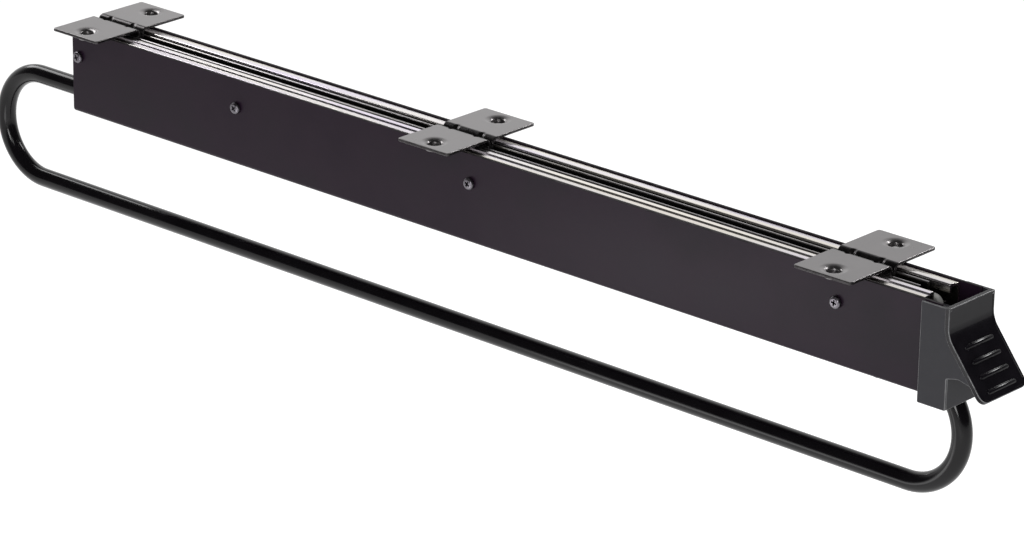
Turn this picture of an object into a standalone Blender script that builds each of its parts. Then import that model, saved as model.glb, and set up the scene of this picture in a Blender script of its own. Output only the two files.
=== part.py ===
"""Pull-out clothes rail for the underside of a wardrobe shelf.

Six angle brackets hang two fixed inner rails from the shelf. A black U-channel runs on them on
two ball slides and carries a bent hanging rod and a moulded end handle.
X runs along the rail towards the hand that pulls it, +Y is that person's right, Z is up.
The origin is on the shelf face, at the middle of the middle pair of brackets. Metres.
"""

import math

import bmesh
import bpy
from mathutils import Matrix, Vector

MM = 0.001

# Clearances
SEAT_GAP = 0.3 * MM  # between pieces that are fastened together
BALL_GAP = 0.15 * MM  # between a ball and its races
HOLE_GAP = 0.3 * MM  # round a screw or rivet shank

# Brackets
BRACKET_SHEET = 1.2 * MM
BRACKET_LENGTH = 26.8 * MM
BRACKET_REACH = 25.7 * MM  # middle plane to the outer edge of the plate
BRACKET_DROP = 26.0 * MM
BRACKET_REAR_INSET = 15.8 * MM  # from the channel's rear edge to the middle of the rear pair
BRACKET_FRONT_INSET = 44.8 * MM  # from the middle of the front pair to the channel's front edge
BRACKET_BEND = 0.5 * MM  # inner radius
BRACKET_CORNER = 1.2 * MM
WEB_SPACE = 0.8 * MM  # between the webs of a pair
DISH_INSET = 7.1 * MM  # from the outer edge of the plate to the screw hole
DISH_RADIUS = 5.2 * MM
DISH_DEPTH = 1.5 * MM
SHELF_HOLE_RADIUS = 2.5 * MM
GUSSET_SPREAD = 13.4 * MM
GUSSET_RADIUS = 1.3 * MM
GUSSET_REACH = 3.2 * MM
RIVET_RADIUS = 1.5 * MM
RIVET_HEAD_RADIUS = 2.7 * MM
RIVET_HEAD = 1.0 * MM
RIVET_SPREAD = 15.0 * MM

# Ball slides
SLIDE_HEIGHT = 27.0 * MM
SLIDE_DEPTH = 9.1 * MM
RAIL_SHEET = 1.0 * MM
RAIL_BEND = 2.7 * MM  # outer radius beside the channel wall
LIP_BEND = 1.3 * MM  # outer radius at the hooked lip
HOOK_WIDTH = 6.2 * MM
HOOK_LIP = 3.4 * MM
INNER_SHEET = 0.9 * MM
INNER_HEIGHT = 25.2 * MM
RACE_SHEET = 1.1 * MM
RACE_DEPTH = 0.3 * MM
RACE_SPREAD = 40.0  # degrees of the groove to each side of its middle
TONGUE_LENGTH = 7.8 * MM
TONGUE_HEIGHT = 13.0 * MM
TONGUE_DROP = 5.0 * MM  # from the top of the inner rail
STOP_SHEET = 1.6 * MM
STOP_HEIGHT = 6.0 * MM
STOP_REACH = 2.0 * MM
CAGE_SHEET = 0.4 * MM
CAGE_LENGTH = 106.0 * MM
BALLS_IN_ROW = 8
CAGE_STOP_GAP = 0.5 * MM  # between a cage and each of its stops when the rail is pulled right out

# Channel
CHANNEL_LENGTH = 458.0 * MM
CHANNEL_SHEET = 1.2 * MM
CHANNEL_BEND = 0.6 * MM  # inner radius
RUNNING_GAP = 2.2 * MM  # between the plates and the channel
SLIDE_PROUD = 0.3 * MM  # slide above the channel walls
SLIDE_SETBACK = 0.7 * MM  # rear of the outer rail from the channel's, and of the inner rail from the outer's
SLIDE_FRONT_SPACE = 9.3 * MM  # from the slide's front end to the channel's front edge
SIDE_SCREW_REAR = 4.0 * MM  # from the rear edge of the channel
SIDE_SCREW_SECOND = 98.2 * MM  # from the rear edge
SIDE_SCREW_THIRD = 1.0 * MM  # behind half the channel's length
SIDE_SCREW_FRONT = 47.5 * MM  # from the front edge
SIDE_SCREW_DROP = 12.1 * MM  # below the channel's top edge
SIDE_SCREW_RADIUS = 1.5 * MM
SIDE_HEAD_RADIUS = 2.5 * MM
SIDE_HEAD = 1.5 * MM

# Hanging rod
ROD_DIAMETER = 8.0 * MM
ROD_CLEARANCE = 1.0 * MM  # below the slides
ROD_DROP = 47.3 * MM  # between the centre lines of the two legs
ROD_OVERHANG = 32.9 * MM  # from the channel's rear edge to the middle of the rear bend
ROD_FRONT_INSET = 20.5 * MM  # from the channel's front edge to the middle of the front bend
ROD_REAR_HOLD = 64.0 * MM  # length of rod held inside the channel
ROD_FRONT_HOLD = 58.0 * MM
ROD_SLOT_GAP = 0.8 * MM
ROD_SCREW_RADIUS = 2.0 * MM
ROD_SCREW_HEAD_RADIUS = 3.2 * MM
ROD_SCREW_HEAD = 1.6 * MM
ROD_SCREW_SPREAD = 30.0 * MM

# End handle
HANDLE_WALL = 1.0 * MM
HANDLE_FRONT = 2.0 * MM
HANDLE_FLOOR = 2.7 * MM
HANDLE_OVERLAP = 8.2 * MM
HANDLE_END_SPACE = 2.5 * MM  # between the channel's end and the front wall
HANDLE_TOP_STEP = 0.4 * MM  # rim below the channel's top edge
HANDLE_EDGE = 0.6 * MM
FLARE_DROP = 10.7 * MM  # from the rim to where the finger plate turns out
FLARE_ANGLE = math.radians(38.0)
FLARE_LENGTH = 27.6 * MM
FLARE_BEND = 9.0 * MM
LIP_LENGTH = 8.2 * MM  # free end of the finger plate below the arch
PLATE_CORNER = 3.5 * MM
ARCH_RISE = 1.3 * MM
SIDE_WEB = 1.6 * MM
GRIP_RIBS = 4
GRIP_RIB_LENGTH = 17.0 * MM
GRIP_RIB_WIDTH = 1.3 * MM
GRIP_RIB_HEIGHT = 0.7 * MM
GRIP_RIB_PITCH = 6.0 * MM
GRIP_RIB_INSET = 3.4 * MM  # last rib to the lip
TONGUE_FOOT_LENGTH = 41.0 * MM
TONGUE_FOOT_HEIGHT = 6.0 * MM
TONGUE_FOOT_GAP = 0.6 * MM
HANDLE_SCREW_RADIUS = 1.25 * MM
HANDLE_SCREW_HEAD_RADIUS = 2.2 * MM
HANDLE_SCREW_HEAD = 1.0 * MM
HANDLE_SCREW_INSET = 8.0 * MM  # from the end of a foot
HANDLE_SCREW_EDGE = 2.6 * MM  # from the side of a foot

# Closing buffer
BUFFER_RADIUS = 4.0 * MM
BUFFER_DROP = 6.3 * MM  # top of the buffer below the shelf face
BUFFER_PIN_RADIUS = 1.2 * MM
BUFFER_RIB = 2.4 * MM
BUFFER_RIB_HEIGHT = 10.0 * MM

# Smoothness of round work
ROUND = 20
HOLE_SIDES = 12
PIN_SIDES = 12
PIN_DOME_STEPS = 2
CORNER_STEPS = 4
ROD_SIDES_RESOLUTION = 6
ROD_BEND_STEPS = 16
SHARP_ANGLE = math.radians(26.0)

# Heights, from the shelf face down
CHANNEL_TOP = -BRACKET_SHEET - RUNNING_GAP
SLIDE_TOP = CHANNEL_TOP + SLIDE_PROUD
SLIDE_MID = SLIDE_TOP - SLIDE_HEIGHT / 2
ROD_RADIUS = ROD_DIAMETER / 2
ROD_UPPER = SLIDE_TOP - SLIDE_HEIGHT - ROD_CLEARANCE - ROD_RADIUS
ROD_BEND = ROD_DROP / 2
ROD_MID = ROD_UPPER - ROD_BEND
FLOOR_TOP = ROD_UPPER - ROD_RADIUS - SEAT_GAP
CHANNEL_BOTTOM = FLOOR_TOP - CHANNEL_SHEET
INNER_TOP = SLIDE_MID + INNER_HEIGHT / 2
SIDE_SCREW_Z = CHANNEL_TOP - SIDE_SCREW_DROP
HANDLE_RIM = CHANNEL_TOP - HANDLE_TOP_STEP
HANDLE_BASE = CHANNEL_BOTTOM - SEAT_GAP - HANDLE_FLOOR

# Distances from the middle plane, out to one side
WEB_IN = WEB_SPACE / 2
WEB_OUT = WEB_IN + BRACKET_SHEET
INNER_FACE = WEB_OUT + SEAT_GAP
OUTER_BACK = INNER_FACE + SLIDE_DEPTH
WALL_IN = OUTER_BACK + SEAT_GAP
WALL_OUT = WALL_IN + CHANNEL_SHEET
HANDLE_IN = WALL_OUT + SEAT_GAP
HANDLE_OUT = HANDLE_IN + HANDLE_WALL
OUTER_WEB = OUTER_BACK - RAIL_SHEET
LIP_OUT = OUTER_BACK - HOOK_WIDTH
LIP_IN = LIP_OUT + RAIL_SHEET
BALL_Y = (OUTER_WEB + LIP_IN) / 2
BALL_RADIUS = (OUTER_WEB - LIP_IN) / 2 - BALL_GAP
CAGE_WEB = OUTER_WEB - BALL_GAP * 2 - CAGE_SHEET
RACE_END = CAGE_WEB - BALL_GAP * 2

# Heights within a slide, from its middle
BALL_Z = SLIDE_HEIGHT / 2 - RAIL_SHEET - BALL_GAP - BALL_RADIUS
RACE_TOP = BALL_Z - BALL_RADIUS - BALL_GAP + RACE_DEPTH
RACE_UNDER = RACE_TOP - RACE_SHEET

# Lengths and places along the rail
SLIDE_LENGTH = CHANNEL_LENGTH - SLIDE_SETBACK - SLIDE_FRONT_SPACE
INNER_LENGTH = SLIDE_LENGTH - SLIDE_SETBACK - TONGUE_LENGTH
BRACKET_PITCH = (CHANNEL_LENGTH - BRACKET_REAR_INSET - BRACKET_FRONT_INSET) / 2
CHANNEL_REAR = -BRACKET_PITCH - BRACKET_REAR_INSET
CHANNEL_FRONT = CHANNEL_REAR + CHANNEL_LENGTH
SLIDE_REAR = CHANNEL_REAR + SLIDE_SETBACK
SLIDE_FRONT = SLIDE_REAR + SLIDE_LENGTH
INNER_REAR = SLIDE_REAR + SLIDE_SETBACK
INNER_FRONT = INNER_REAR + INNER_LENGTH
STOP_FACE = SLIDE_REAR + STOP_SHEET
TRAVEL = INNER_FRONT - STOP_SHEET - STOP_FACE - CAGE_LENGTH - CAGE_STOP_GAP * 2
CAGE_REAR = STOP_FACE + TRAVEL / 2 + CAGE_STOP_GAP
HANDLE_REAR = CHANNEL_FRONT - HANDLE_OVERLAP
FRONT_IN = CHANNEL_FRONT + HANDLE_END_SPACE
FRONT_OUT = FRONT_IN + HANDLE_FRONT
ROD_REAR_X = CHANNEL_REAR - ROD_OVERHANG
ROD_FRONT_X = CHANNEL_FRONT - ROD_FRONT_INSET
SIDE_SCREW_PLACES = (
    CHANNEL_REAR + SIDE_SCREW_REAR,
    CHANNEL_REAR + SIDE_SCREW_SECOND,
    CHANNEL_REAR + CHANNEL_LENGTH / 2 - SIDE_SCREW_THIRD,
    CHANNEL_FRONT - SIDE_SCREW_FRONT,
)
BUFFER_X = INNER_FRONT + TONGUE_LENGTH - BUFFER_RADIUS + SEAT_GAP
BUFFER_Z = -BUFFER_DROP - BUFFER_RADIUS

# Turns that lay an outline drawn in X and Y into another plane
ACROSS = Matrix(((0, 0, 1), (1, 0, 0), (0, 1, 0))).to_4x4()  # outline in Y and Z, depth along X
SIDEWAYS = Matrix(((1, 0, 0), (0, 0, -1), (0, 1, 0))).to_4x4()  # outline in X and Z, depth along Y
FLAT = Matrix.Identity(4)  # outline in X and Y, depth along Z

for left_over in list(bpy.data.objects):
    bpy.data.objects.remove(left_over, do_unlink=True)

parts = bpy.data.collections.new("pull_out_clothes_rail")
helpers = bpy.data.collections.new("cutters")
bpy.context.scene.collection.children.link(parts)
bpy.context.scene.collection.children.link(helpers)


def finish(name, color, roughness, metallic):
    """A material with one colour, roughness and metallic value."""
    material = bpy.data.materials.new(name)
    material.use_nodes = True
    shader = material.node_tree.nodes["Principled BSDF"]
    shader.inputs["Base Color"].default_value = (*color, 1.0)
    shader.inputs["Roughness"].default_value = roughness
    shader.inputs["Metallic"].default_value = metallic
    return material


BLACK_NICKEL = finish("black_nickel", (0.16, 0.155, 0.155), 0.35, 0.9)
ZINC = finish("zinc", (0.72, 0.71, 0.70), 0.22, 1.0)
CHANNEL_BLACK = finish("channel_black", (0.028, 0.021, 0.027), 0.42, 0.0)
ROD_BLACK = finish("rod_black", (0.008, 0.008, 0.009), 0.12, 0.0)
HANDLE_BLACK = finish("handle_black", (0.03, 0.03, 0.032), 0.38, 0.0)
SCREW_BLACK = finish("screw_black", (0.07, 0.065, 0.07), 0.4, 0.8)
STEEL = finish("steel", (0.55, 0.55, 0.55), 0.3, 1.0)
RUBBER = finish("rubber_grey", (0.33, 0.32, 0.29), 0.7, 0.0)


def placed(name, mesh, material=None, where=FLAT):
    """An object in the parts' collection that shows a mesh."""
    obj = bpy.data.objects.new(name, mesh)
    obj.matrix_world = where
    parts.objects.link(obj)
    if material and not mesh.materials:
        mesh.materials.append(material)
    return obj


def helper(obj):
    """Moves an object to the cutters, where it takes no part in the finished model."""
    parts.objects.unlink(obj)
    helpers.objects.link(obj)
    obj.hide_render = True
    obj.display_type = "WIRE"
    return obj


def baked(obj):
    """The mesh of an object with its modifiers applied, closed and facing out."""
    bpy.context.view_layer.update()
    graph = bpy.context.evaluated_depsgraph_get()
    mesh = bpy.data.meshes.new_from_object(obj.evaluated_get(graph))
    shape = bmesh.new()
    shape.from_mesh(mesh)
    bmesh.ops.remove_doubles(shape, verts=shape.verts, dist=0.000001)
    bmesh.ops.recalc_face_normals(shape, faces=shape.faces)
    shape.to_mesh(mesh)
    shape.free()
    return mesh


def as_mesh(obj):
    """Turns a curve, or an object with modifiers, into a plain mesh object in the rail's own frame."""
    name = obj.name
    mesh = baked(obj)
    mesh.transform(obj.matrix_world)
    bpy.data.objects.remove(obj, do_unlink=True)
    return placed(name, mesh)


def arc(centre, radius, start, end, steps):
    """Points along a circle from one angle to another, in degrees, both ends included."""
    points = []
    for step in range(steps + 1):
        angle = math.radians(start + (end - start) * step / steps)
        points.append((centre[0] + radius * math.cos(angle), centre[1] + radius * math.sin(angle)))
    return points


def rounded(corners, steps=CORNER_STEPS):
    """The outline through corners (x, y, radius), with each corner rounded to its radius."""
    outline = []
    for index, (x, y, radius) in enumerate(corners):
        corner = Vector((x, y))
        if not radius:
            outline.append((x, y))
            continue
        before = Vector(corners[index - 1][:2]) - corner
        after = Vector(corners[(index + 1) % len(corners)][:2]) - corner
        half = before.angle(after) / 2
        before.normalize()
        after.normalize()
        reach = radius / math.tan(half)
        middle = corner + (before + after).normalized() * (radius / math.sin(half))
        first = corner + before * reach - middle
        last = corner + after * reach - middle
        for step in range(steps + 1):
            share = step / steps
            spoke = first.slerp(last, share)
            outline.append(tuple(middle + spoke.normalized() * radius))
    return outline


def slab(name, outline, where, depth):
    """A flat outline given a depth, centred on the place."""
    curve = bpy.data.curves.new(name, "CURVE")
    curve.dimensions = "2D"
    curve.fill_mode = "BOTH"
    curve.extrude = depth / 2
    spline = curve.splines.new("POLY")
    spline.points.add(len(outline) - 1)
    for point, (x, y) in zip(spline.points, outline):
        point.co = (x, y, 0, 1)
    spline.use_cyclic_u = True
    obj = as_mesh(placed(name, curve, None, where))
    shape = bmesh.new()
    shape.from_mesh(obj.data)
    flat = [edge for edge in shape.edges if edge.calc_face_angle(1.0) < 0.0001]
    bmesh.ops.dissolve_edges(shape, edges=flat, use_verts=False)
    shape.to_mesh(obj.data)
    shape.free()
    return obj


def block(name, low, high):
    """A box between two corners."""
    low = Vector(low)
    high = Vector(high)
    shape = bmesh.new()
    bmesh.ops.create_cube(shape, size=1.0)
    bmesh.ops.scale(shape, vec=high - low, verts=shape.verts)
    bmesh.ops.translate(shape, vec=(low + high) / 2, verts=shape.verts)
    mesh = bpy.data.meshes.new(name)
    shape.to_mesh(mesh)
    shape.free()
    return placed(name, mesh)


def cylinder(name, radius, start, end, sides=HOLE_SIDES):
    """A round bar between two points."""
    start = Vector(start)
    run = Vector(end) - start
    shape = bmesh.new()
    bmesh.ops.create_cone(
        shape, cap_ends=True, segments=sides, radius1=radius, radius2=radius, depth=run.length
    )
    turn = Vector((0, 0, 1)).rotation_difference(run).to_matrix().to_4x4()
    bmesh.ops.transform(shape, matrix=Matrix.Translation(start + run / 2) @ turn, verts=shape.verts)
    mesh = bpy.data.meshes.new(name)
    shape.to_mesh(mesh)
    shape.free()
    return placed(name, mesh)


def turned(name, profile, sides=ROUND):
    """A turned piece about Z, from a profile of (radius, height) that runs from top to bottom."""
    shape = bmesh.new()
    points = [shape.verts.new((radius, 0, height)) for radius, height in profile]
    for first, last in zip(points, points[1:]):
        shape.edges.new((first, last))
    mesh = bpy.data.meshes.new(name)
    shape.to_mesh(mesh)
    shape.free()
    obj = placed(name, mesh)
    screw = obj.modifiers.new("turn", "SCREW")
    screw.steps = sides
    screw.render_steps = sides
    screw.use_merge_vertices = True
    screw.merge_threshold = 0.00001
    return as_mesh(obj)


def combine(target, other, operation):
    """Joins another object to the target, cuts it out, or keeps what they share."""
    modifier = target.modifiers.new(other.name, "BOOLEAN")
    modifier.operation = operation
    modifier.solver = "EXACT"
    modifier.object = helper(other)
    return target


def together(name, objects):
    """Several separate shapes as one object, so that they cut in one step."""
    shape = bmesh.new()
    for obj in objects:
        shape.from_mesh(obj.data)
        bpy.data.objects.remove(obj, do_unlink=True)
    mesh = bpy.data.meshes.new(name)
    shape.to_mesh(mesh)
    shape.free()
    return placed(name, mesh)


def cut(target, *others):
    for other in others:
        combine(target, other, "DIFFERENCE")
    return target


def join(target, *others):
    for other in others:
        combine(target, other, "UNION")
    return target


def named(obj, name, material):
    """The finished form of an object, under its own name and with its material."""
    obj = as_mesh(obj)
    obj.name = name
    obj.data.name = name
    obj.data.materials.clear()
    obj.data.materials.append(material)
    obj.data.shade_smooth()
    obj.data.set_sharp_from_angle(angle=SHARP_ANGLE)
    return obj


# Angle brackets: bent plate, dished screw hole, pressed gussets, rivet holes


def bracket_mesh():
    """One bracket with its plate out to +Y, centred on X."""
    outer_bend = BRACKET_BEND + BRACKET_SHEET
    spill = BRACKET_CORNER * 2
    section = rounded(
        [
            (WEB_IN, -BRACKET_DROP, 0),
            (WEB_IN, 0, outer_bend),
            (BRACKET_REACH + spill, 0, 0),
            (BRACKET_REACH + spill, -BRACKET_SHEET, 0),
            (WEB_OUT, -BRACKET_SHEET, BRACKET_BEND),
            (WEB_OUT, -BRACKET_DROP, 0),
        ]
    )
    bracket = slab("bracket", section, ACROSS, BRACKET_LENGTH + spill * 2)
    half = BRACKET_LENGTH / 2
    plan = rounded(
        [
            (-half, -spill, 0),
            (half, -spill, 0),
            (half, BRACKET_REACH, BRACKET_CORNER),
            (-half, BRACKET_REACH, BRACKET_CORNER),
        ]
    )
    combine(bracket, slab("bracket_plan", plan, FLAT, BRACKET_DROP * 3), "INTERSECT")
    hole_y = BRACKET_REACH - DISH_INSET
    wall = BRACKET_SHEET * 0.8
    boss = turned(
        "dish_boss",
        [
            (0, -BRACKET_SHEET / 2),
            (DISH_RADIUS + wall, -BRACKET_SHEET / 2),
            (SHELF_HOLE_RADIUS + wall, -BRACKET_SHEET - DISH_DEPTH),
            (0, -BRACKET_SHEET - DISH_DEPTH),
        ],
    )
    dish = turned(
        "dish",
        [
            (0, DISH_DEPTH),
            (DISH_RADIUS * 2 - SHELF_HOLE_RADIUS, DISH_DEPTH),
            (SHELF_HOLE_RADIUS, -DISH_DEPTH),
            (SHELF_HOLE_RADIUS, -BRACKET_SHEET - DISH_DEPTH * 2),
            (0, -BRACKET_SHEET - DISH_DEPTH * 2),
        ],
    )
    for shape in (boss, dish):
        shape.matrix_world = Matrix.Translation((0, hole_y, 0))
    join(bracket, boss)
    cut(bracket, dish)
    holes = [(side * RIVET_SPREAD / 2, SLIDE_MID, RIVET_RADIUS) for side in (-1, 1)]
    cut(bracket, cross_holes(holes, -WEB_OUT, WEB_OUT * 3))
    for side in (-1, 1):
        press_gusset(bracket, side * GUSSET_SPREAD / 2)
    return baked(bracket), bracket


def press_gusset(bracket, x):
    """A rib pressed across the bend: filled inside the angle, dented outside it."""
    slant = Vector((0, 1, 1)).normalized()
    outwards = Vector((0, -1, 1)).normalized()
    crease = Vector((x, WEB_IN + GUSSET_REACH / 2, -GUSSET_REACH / 2))
    axis = crease + outwards * GUSSET_RADIUS
    reach = slant * GUSSET_REACH * 2
    rib = cylinder("gusset", GUSSET_RADIUS + BRACKET_SHEET, axis - reach, axis + reach, 16)
    inside = block(
        "gusset_limit",
        (x - GUSSET_REACH, WEB_IN + BRACKET_SHEET / 2, -BRACKET_DROP / 2),
        (x + GUSSET_REACH, BRACKET_REACH / 2, -BRACKET_SHEET / 2),
    )
    combine(rib, inside, "INTERSECT")
    dent = cylinder("gusset_dent", GUSSET_RADIUS, axis - reach, axis + reach, 16)
    join(bracket, rib)
    cut(bracket, dent)


def turned_about(axis_place, direction):
    """The placing of a piece turned about Z whose top should face a direction."""
    turn = Vector((0, 0, 1)).rotation_difference(Vector(direction)).to_matrix().to_4x4()
    return Matrix.Translation(axis_place) @ turn


def headed_mesh(name, head_radius, head, radius, length):
    """A pin with a domed head: the head stands above Z = 0 and the shank runs below it."""
    dome = arc((0, 0), 1.0, 90, 20, PIN_DOME_STEPS)
    crown = [(head_radius * x / dome[-1][0], head * (0.4 + 0.6 * y)) for x, y in dome]
    crown[0] = (0, head)
    profile = crown + [(head_radius, 0), (radius, 0), (radius, -length), (0, -length)]
    return baked(helper(turned(name, profile, PIN_SIDES)))


def make_brackets():
    mesh, pattern = bracket_mesh()
    helper(pattern)
    mesh.materials.clear()
    mesh.shade_smooth()
    mesh.set_sharp_from_angle(angle=SHARP_ANGLE)
    rivet = headed_mesh(
        "rivet",
        RIVET_HEAD_RADIUS,
        RIVET_HEAD,
        RIVET_RADIUS,
        INNER_SHEET + SEAT_GAP * 2 + BRACKET_SHEET - HOLE_GAP,
    )
    head_face = INNER_FACE + INNER_SHEET + SEAT_GAP
    for place, x in (("rear", -BRACKET_PITCH), ("middle", 0.0), ("front", BRACKET_PITCH)):
        for hand, side in (("left", -1), ("right", 1)):
            half_turn = Matrix.Rotation(math.pi if side < 0 else 0.0, 4, "Z")
            placed(
                f"bracket_{place}_{hand}", mesh, BLACK_NICKEL, Matrix.Translation((x, 0, 0)) @ half_turn
            )
            for number, offset in ((1, -RIVET_SPREAD / 2), (2, RIVET_SPREAD / 2)):
                placed(
                    f"rivet_{place}_{hand}_{number}",
                    rivet,
                    STEEL,
                    turned_about((x + offset, side * head_face, SLIDE_MID), (0, side, 0)),
                )


# Slide rails: fixed inner rails with hemmed webs, moving outer rails with hooked flanges


def mirrored(outline, side):
    return [(side * y, z) for y, z in outline]


def cross_holes(holes, start, end):
    """Cutters across the rail for holes (x, z, shank radius), from one distance in Y to another."""
    return together(
        "cross_holes",
        [cylinder("hole", radius + HOLE_GAP, (x, start, z), (x, end, z)) for x, z, radius in holes],
    )


def inner_section():
    """Upper and lower halves of the inner rail's section, as one outline about the slide's middle."""
    hem = INNER_FACE + INNER_SHEET * 2
    top = INNER_HEIGHT / 2
    groove = arc(
        (BALL_Y, BALL_Z),
        BALL_RADIUS + BALL_GAP,
        270 - RACE_SPREAD,
        270 + RACE_SPREAD,
        CORNER_STEPS * 2,
    )
    lip_y = math.sqrt((BALL_RADIUS + BALL_GAP) ** 2 - (BALL_Z - RACE_TOP) ** 2)
    race = [(BALL_Y - lip_y, RACE_TOP)]
    race += [point for point in groove if point[1] < RACE_TOP]
    race += [(BALL_Y + lip_y, RACE_TOP)]
    upper = [(INNER_FACE, 0)]
    upper += arc((INNER_FACE + INNER_SHEET, top - INNER_SHEET), INNER_SHEET, 180, 0, CORNER_STEPS * 2)
    upper += [(hem, RACE_TOP)] + race
    upper += [(RACE_END, RACE_TOP), (RACE_END, RACE_UNDER), (INNER_FACE + INNER_SHEET, RACE_UNDER)]
    lower = [(y, -z) for y, z in reversed(upper[1:])]
    return [(y, z + SLIDE_MID) for y, z in upper + lower]


def inner_rail(hand, side):
    middle = (INNER_REAR + INNER_FRONT) / 2
    where = Matrix.Translation((middle, 0, 0)) @ ACROSS
    rail = slab("inner_rail", mirrored(inner_section(), side), where, INNER_LENGTH)
    low_y, high_y = sorted((side * INNER_FACE, side * (INNER_FACE + INNER_SHEET)))
    tongue_top = INNER_TOP - TONGUE_DROP
    front = INNER_FRONT + TONGUE_LENGTH
    tongue = block(
        "buffer_tongue",
        (INNER_FRONT - TONGUE_LENGTH, low_y, tongue_top - TONGUE_HEIGHT),
        (front, high_y, tongue_top),
    )
    reach_y = sorted((side * (INNER_FACE + INNER_SHEET / 2), side * RACE_END))
    stop = block(
        "cage_stop",
        (INNER_FRONT - STOP_SHEET, reach_y[0], SLIDE_MID - STOP_HEIGHT / 2),
        (INNER_FRONT - SEAT_GAP, reach_y[1], SLIDE_MID + STOP_HEIGHT / 2),
    )
    join(rail, tongue, stop)
    holes = [(BUFFER_X, BUFFER_Z, BUFFER_PIN_RADIUS)]
    for x in (-BRACKET_PITCH, 0.0, BRACKET_PITCH):
        holes.append((x - RIVET_SPREAD / 2, SLIDE_MID, RIVET_RADIUS))
        holes.append((x + RIVET_SPREAD / 2, SLIDE_MID, RIVET_RADIUS))
    cut(rail, cross_holes(holes, side * WEB_IN, side * LIP_OUT))
    return named(rail, f"inner_rail_{hand}", ZINC)


def outer_section():
    half = SLIDE_HEIGHT / 2
    wall_bend = RAIL_BEND - RAIL_SHEET
    lip_bend = LIP_BEND - RAIL_SHEET
    tip = half - HOOK_LIP
    corners = [
        (OUTER_BACK, half, RAIL_BEND),
        (OUTER_BACK, -half, RAIL_BEND),
        (LIP_OUT, -half, LIP_BEND),
        (LIP_OUT, -tip, 0),
        (LIP_IN, -tip, 0),
        (LIP_IN, -half + RAIL_SHEET, lip_bend),
        (OUTER_WEB, -half + RAIL_SHEET, wall_bend),
        (OUTER_WEB, half - RAIL_SHEET, wall_bend),
        (LIP_IN, half - RAIL_SHEET, lip_bend),
        (LIP_IN, tip, 0),
        (LIP_OUT, tip, 0),
        (LIP_OUT, half, LIP_BEND),
    ]
    return [(y, z + SLIDE_MID) for y, z in rounded(corners)]


def outer_rail(hand, side):
    middle = (SLIDE_REAR + SLIDE_FRONT) / 2
    where = Matrix.Translation((middle, 0, 0)) @ ACROSS
    rail = slab("outer_rail", mirrored(outer_section(), side), where, SLIDE_LENGTH)
    reach_y = sorted((side * (OUTER_BACK - RAIL_SHEET / 2), side * (OUTER_WEB - STOP_REACH)))
    stop = block(
        "cage_stop",
        (SLIDE_REAR + SEAT_GAP, reach_y[0], SLIDE_MID - STOP_HEIGHT / 2),
        (STOP_FACE, reach_y[1], SLIDE_MID + STOP_HEIGHT / 2),
    )
    join(rail, stop)
    cut(rail, cross_holes(side_screw_holes(), side * BALL_Y, side * HANDLE_OUT))
    return named(rail, f"outer_rail_{hand}", ZINC)


def side_screw_holes():
    return [(x, SIDE_SCREW_Z, SIDE_SCREW_RADIUS) for x in SIDE_SCREW_PLACES]


def ball_cage(hand, side):
    """A folded strip with two rows of balls seated in it."""
    half = BALL_Z + CAGE_SHEET / 2
    web = CAGE_WEB + CAGE_SHEET
    edge = LIP_IN + BALL_GAP
    section = [
        (web, half),
        (web, -half),
        (edge, -half),
        (edge, CAGE_SHEET - half),
        (CAGE_WEB, CAGE_SHEET - half),
        (CAGE_WEB, half - CAGE_SHEET),
        (edge, half - CAGE_SHEET),
        (edge, half),
    ]
    section = [(y, z + SLIDE_MID) for y, z in section]
    middle = CAGE_REAR + CAGE_LENGTH / 2
    where = Matrix.Translation((middle, 0, 0)) @ ACROSS
    cage = slab("ball_cage", mirrored(section, side), where, CAGE_LENGTH)
    pitch = CAGE_LENGTH / BALLS_IN_ROW
    shape = bmesh.new()
    for number in range(BALLS_IN_ROW):
        for row in (-1, 1):
            centre = (CAGE_REAR + pitch * (number + 0.5), side * BALL_Y, SLIDE_MID + row * BALL_Z)
            bmesh.ops.create_icosphere(
                shape, subdivisions=1, radius=BALL_RADIUS, matrix=Matrix.Translation(centre)
            )
    mesh = bpy.data.meshes.new("balls")
    shape.to_mesh(mesh)
    shape.free()
    join(cage, placed("balls", mesh))
    return named(cage, f"ball_cage_{hand}", STEEL)


# Channel: folded sheet, open at the top and both ends, with a slot for the rod


def make_channel():
    outer_bend = CHANNEL_BEND + CHANNEL_SHEET
    section = rounded(
        [
            (WALL_OUT, CHANNEL_TOP, 0),
            (WALL_IN, CHANNEL_TOP, 0),
            (WALL_IN, FLOOR_TOP, CHANNEL_BEND),
            (-WALL_IN, FLOOR_TOP, CHANNEL_BEND),
            (-WALL_IN, CHANNEL_TOP, 0),
            (-WALL_OUT, CHANNEL_TOP, 0),
            (-WALL_OUT, CHANNEL_BOTTOM, outer_bend),
            (WALL_OUT, CHANNEL_BOTTOM, outer_bend),
        ]
    )
    middle = (CHANNEL_REAR + CHANNEL_FRONT) / 2
    channel = slab("channel", section, Matrix.Translation((middle, 0, 0)) @ ACROSS, CHANNEL_LENGTH)
    cutters = [rod_slot()]
    for side in (-1, 1):
        cutters.append(cross_holes(side_screw_holes(), side * OUTER_WEB, side * HANDLE_OUT))
        cutters.append(floor_hole(*handle_screw_place(side), HANDLE_SCREW_RADIUS))
    for x in rod_screw_places():
        cutters.append(floor_hole(x, 0, ROD_SCREW_RADIUS))
    cut(channel, together("channel_holes", cutters))
    return named(channel, "channel", CHANNEL_BLACK)


def floor_hole(x, y, radius):
    spill = CHANNEL_SHEET * 2
    return cylinder(
        "floor_hole", radius + HOLE_GAP, (x, y, CHANNEL_BOTTOM - spill), (x, y, FLOOR_TOP + spill)
    )


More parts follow.
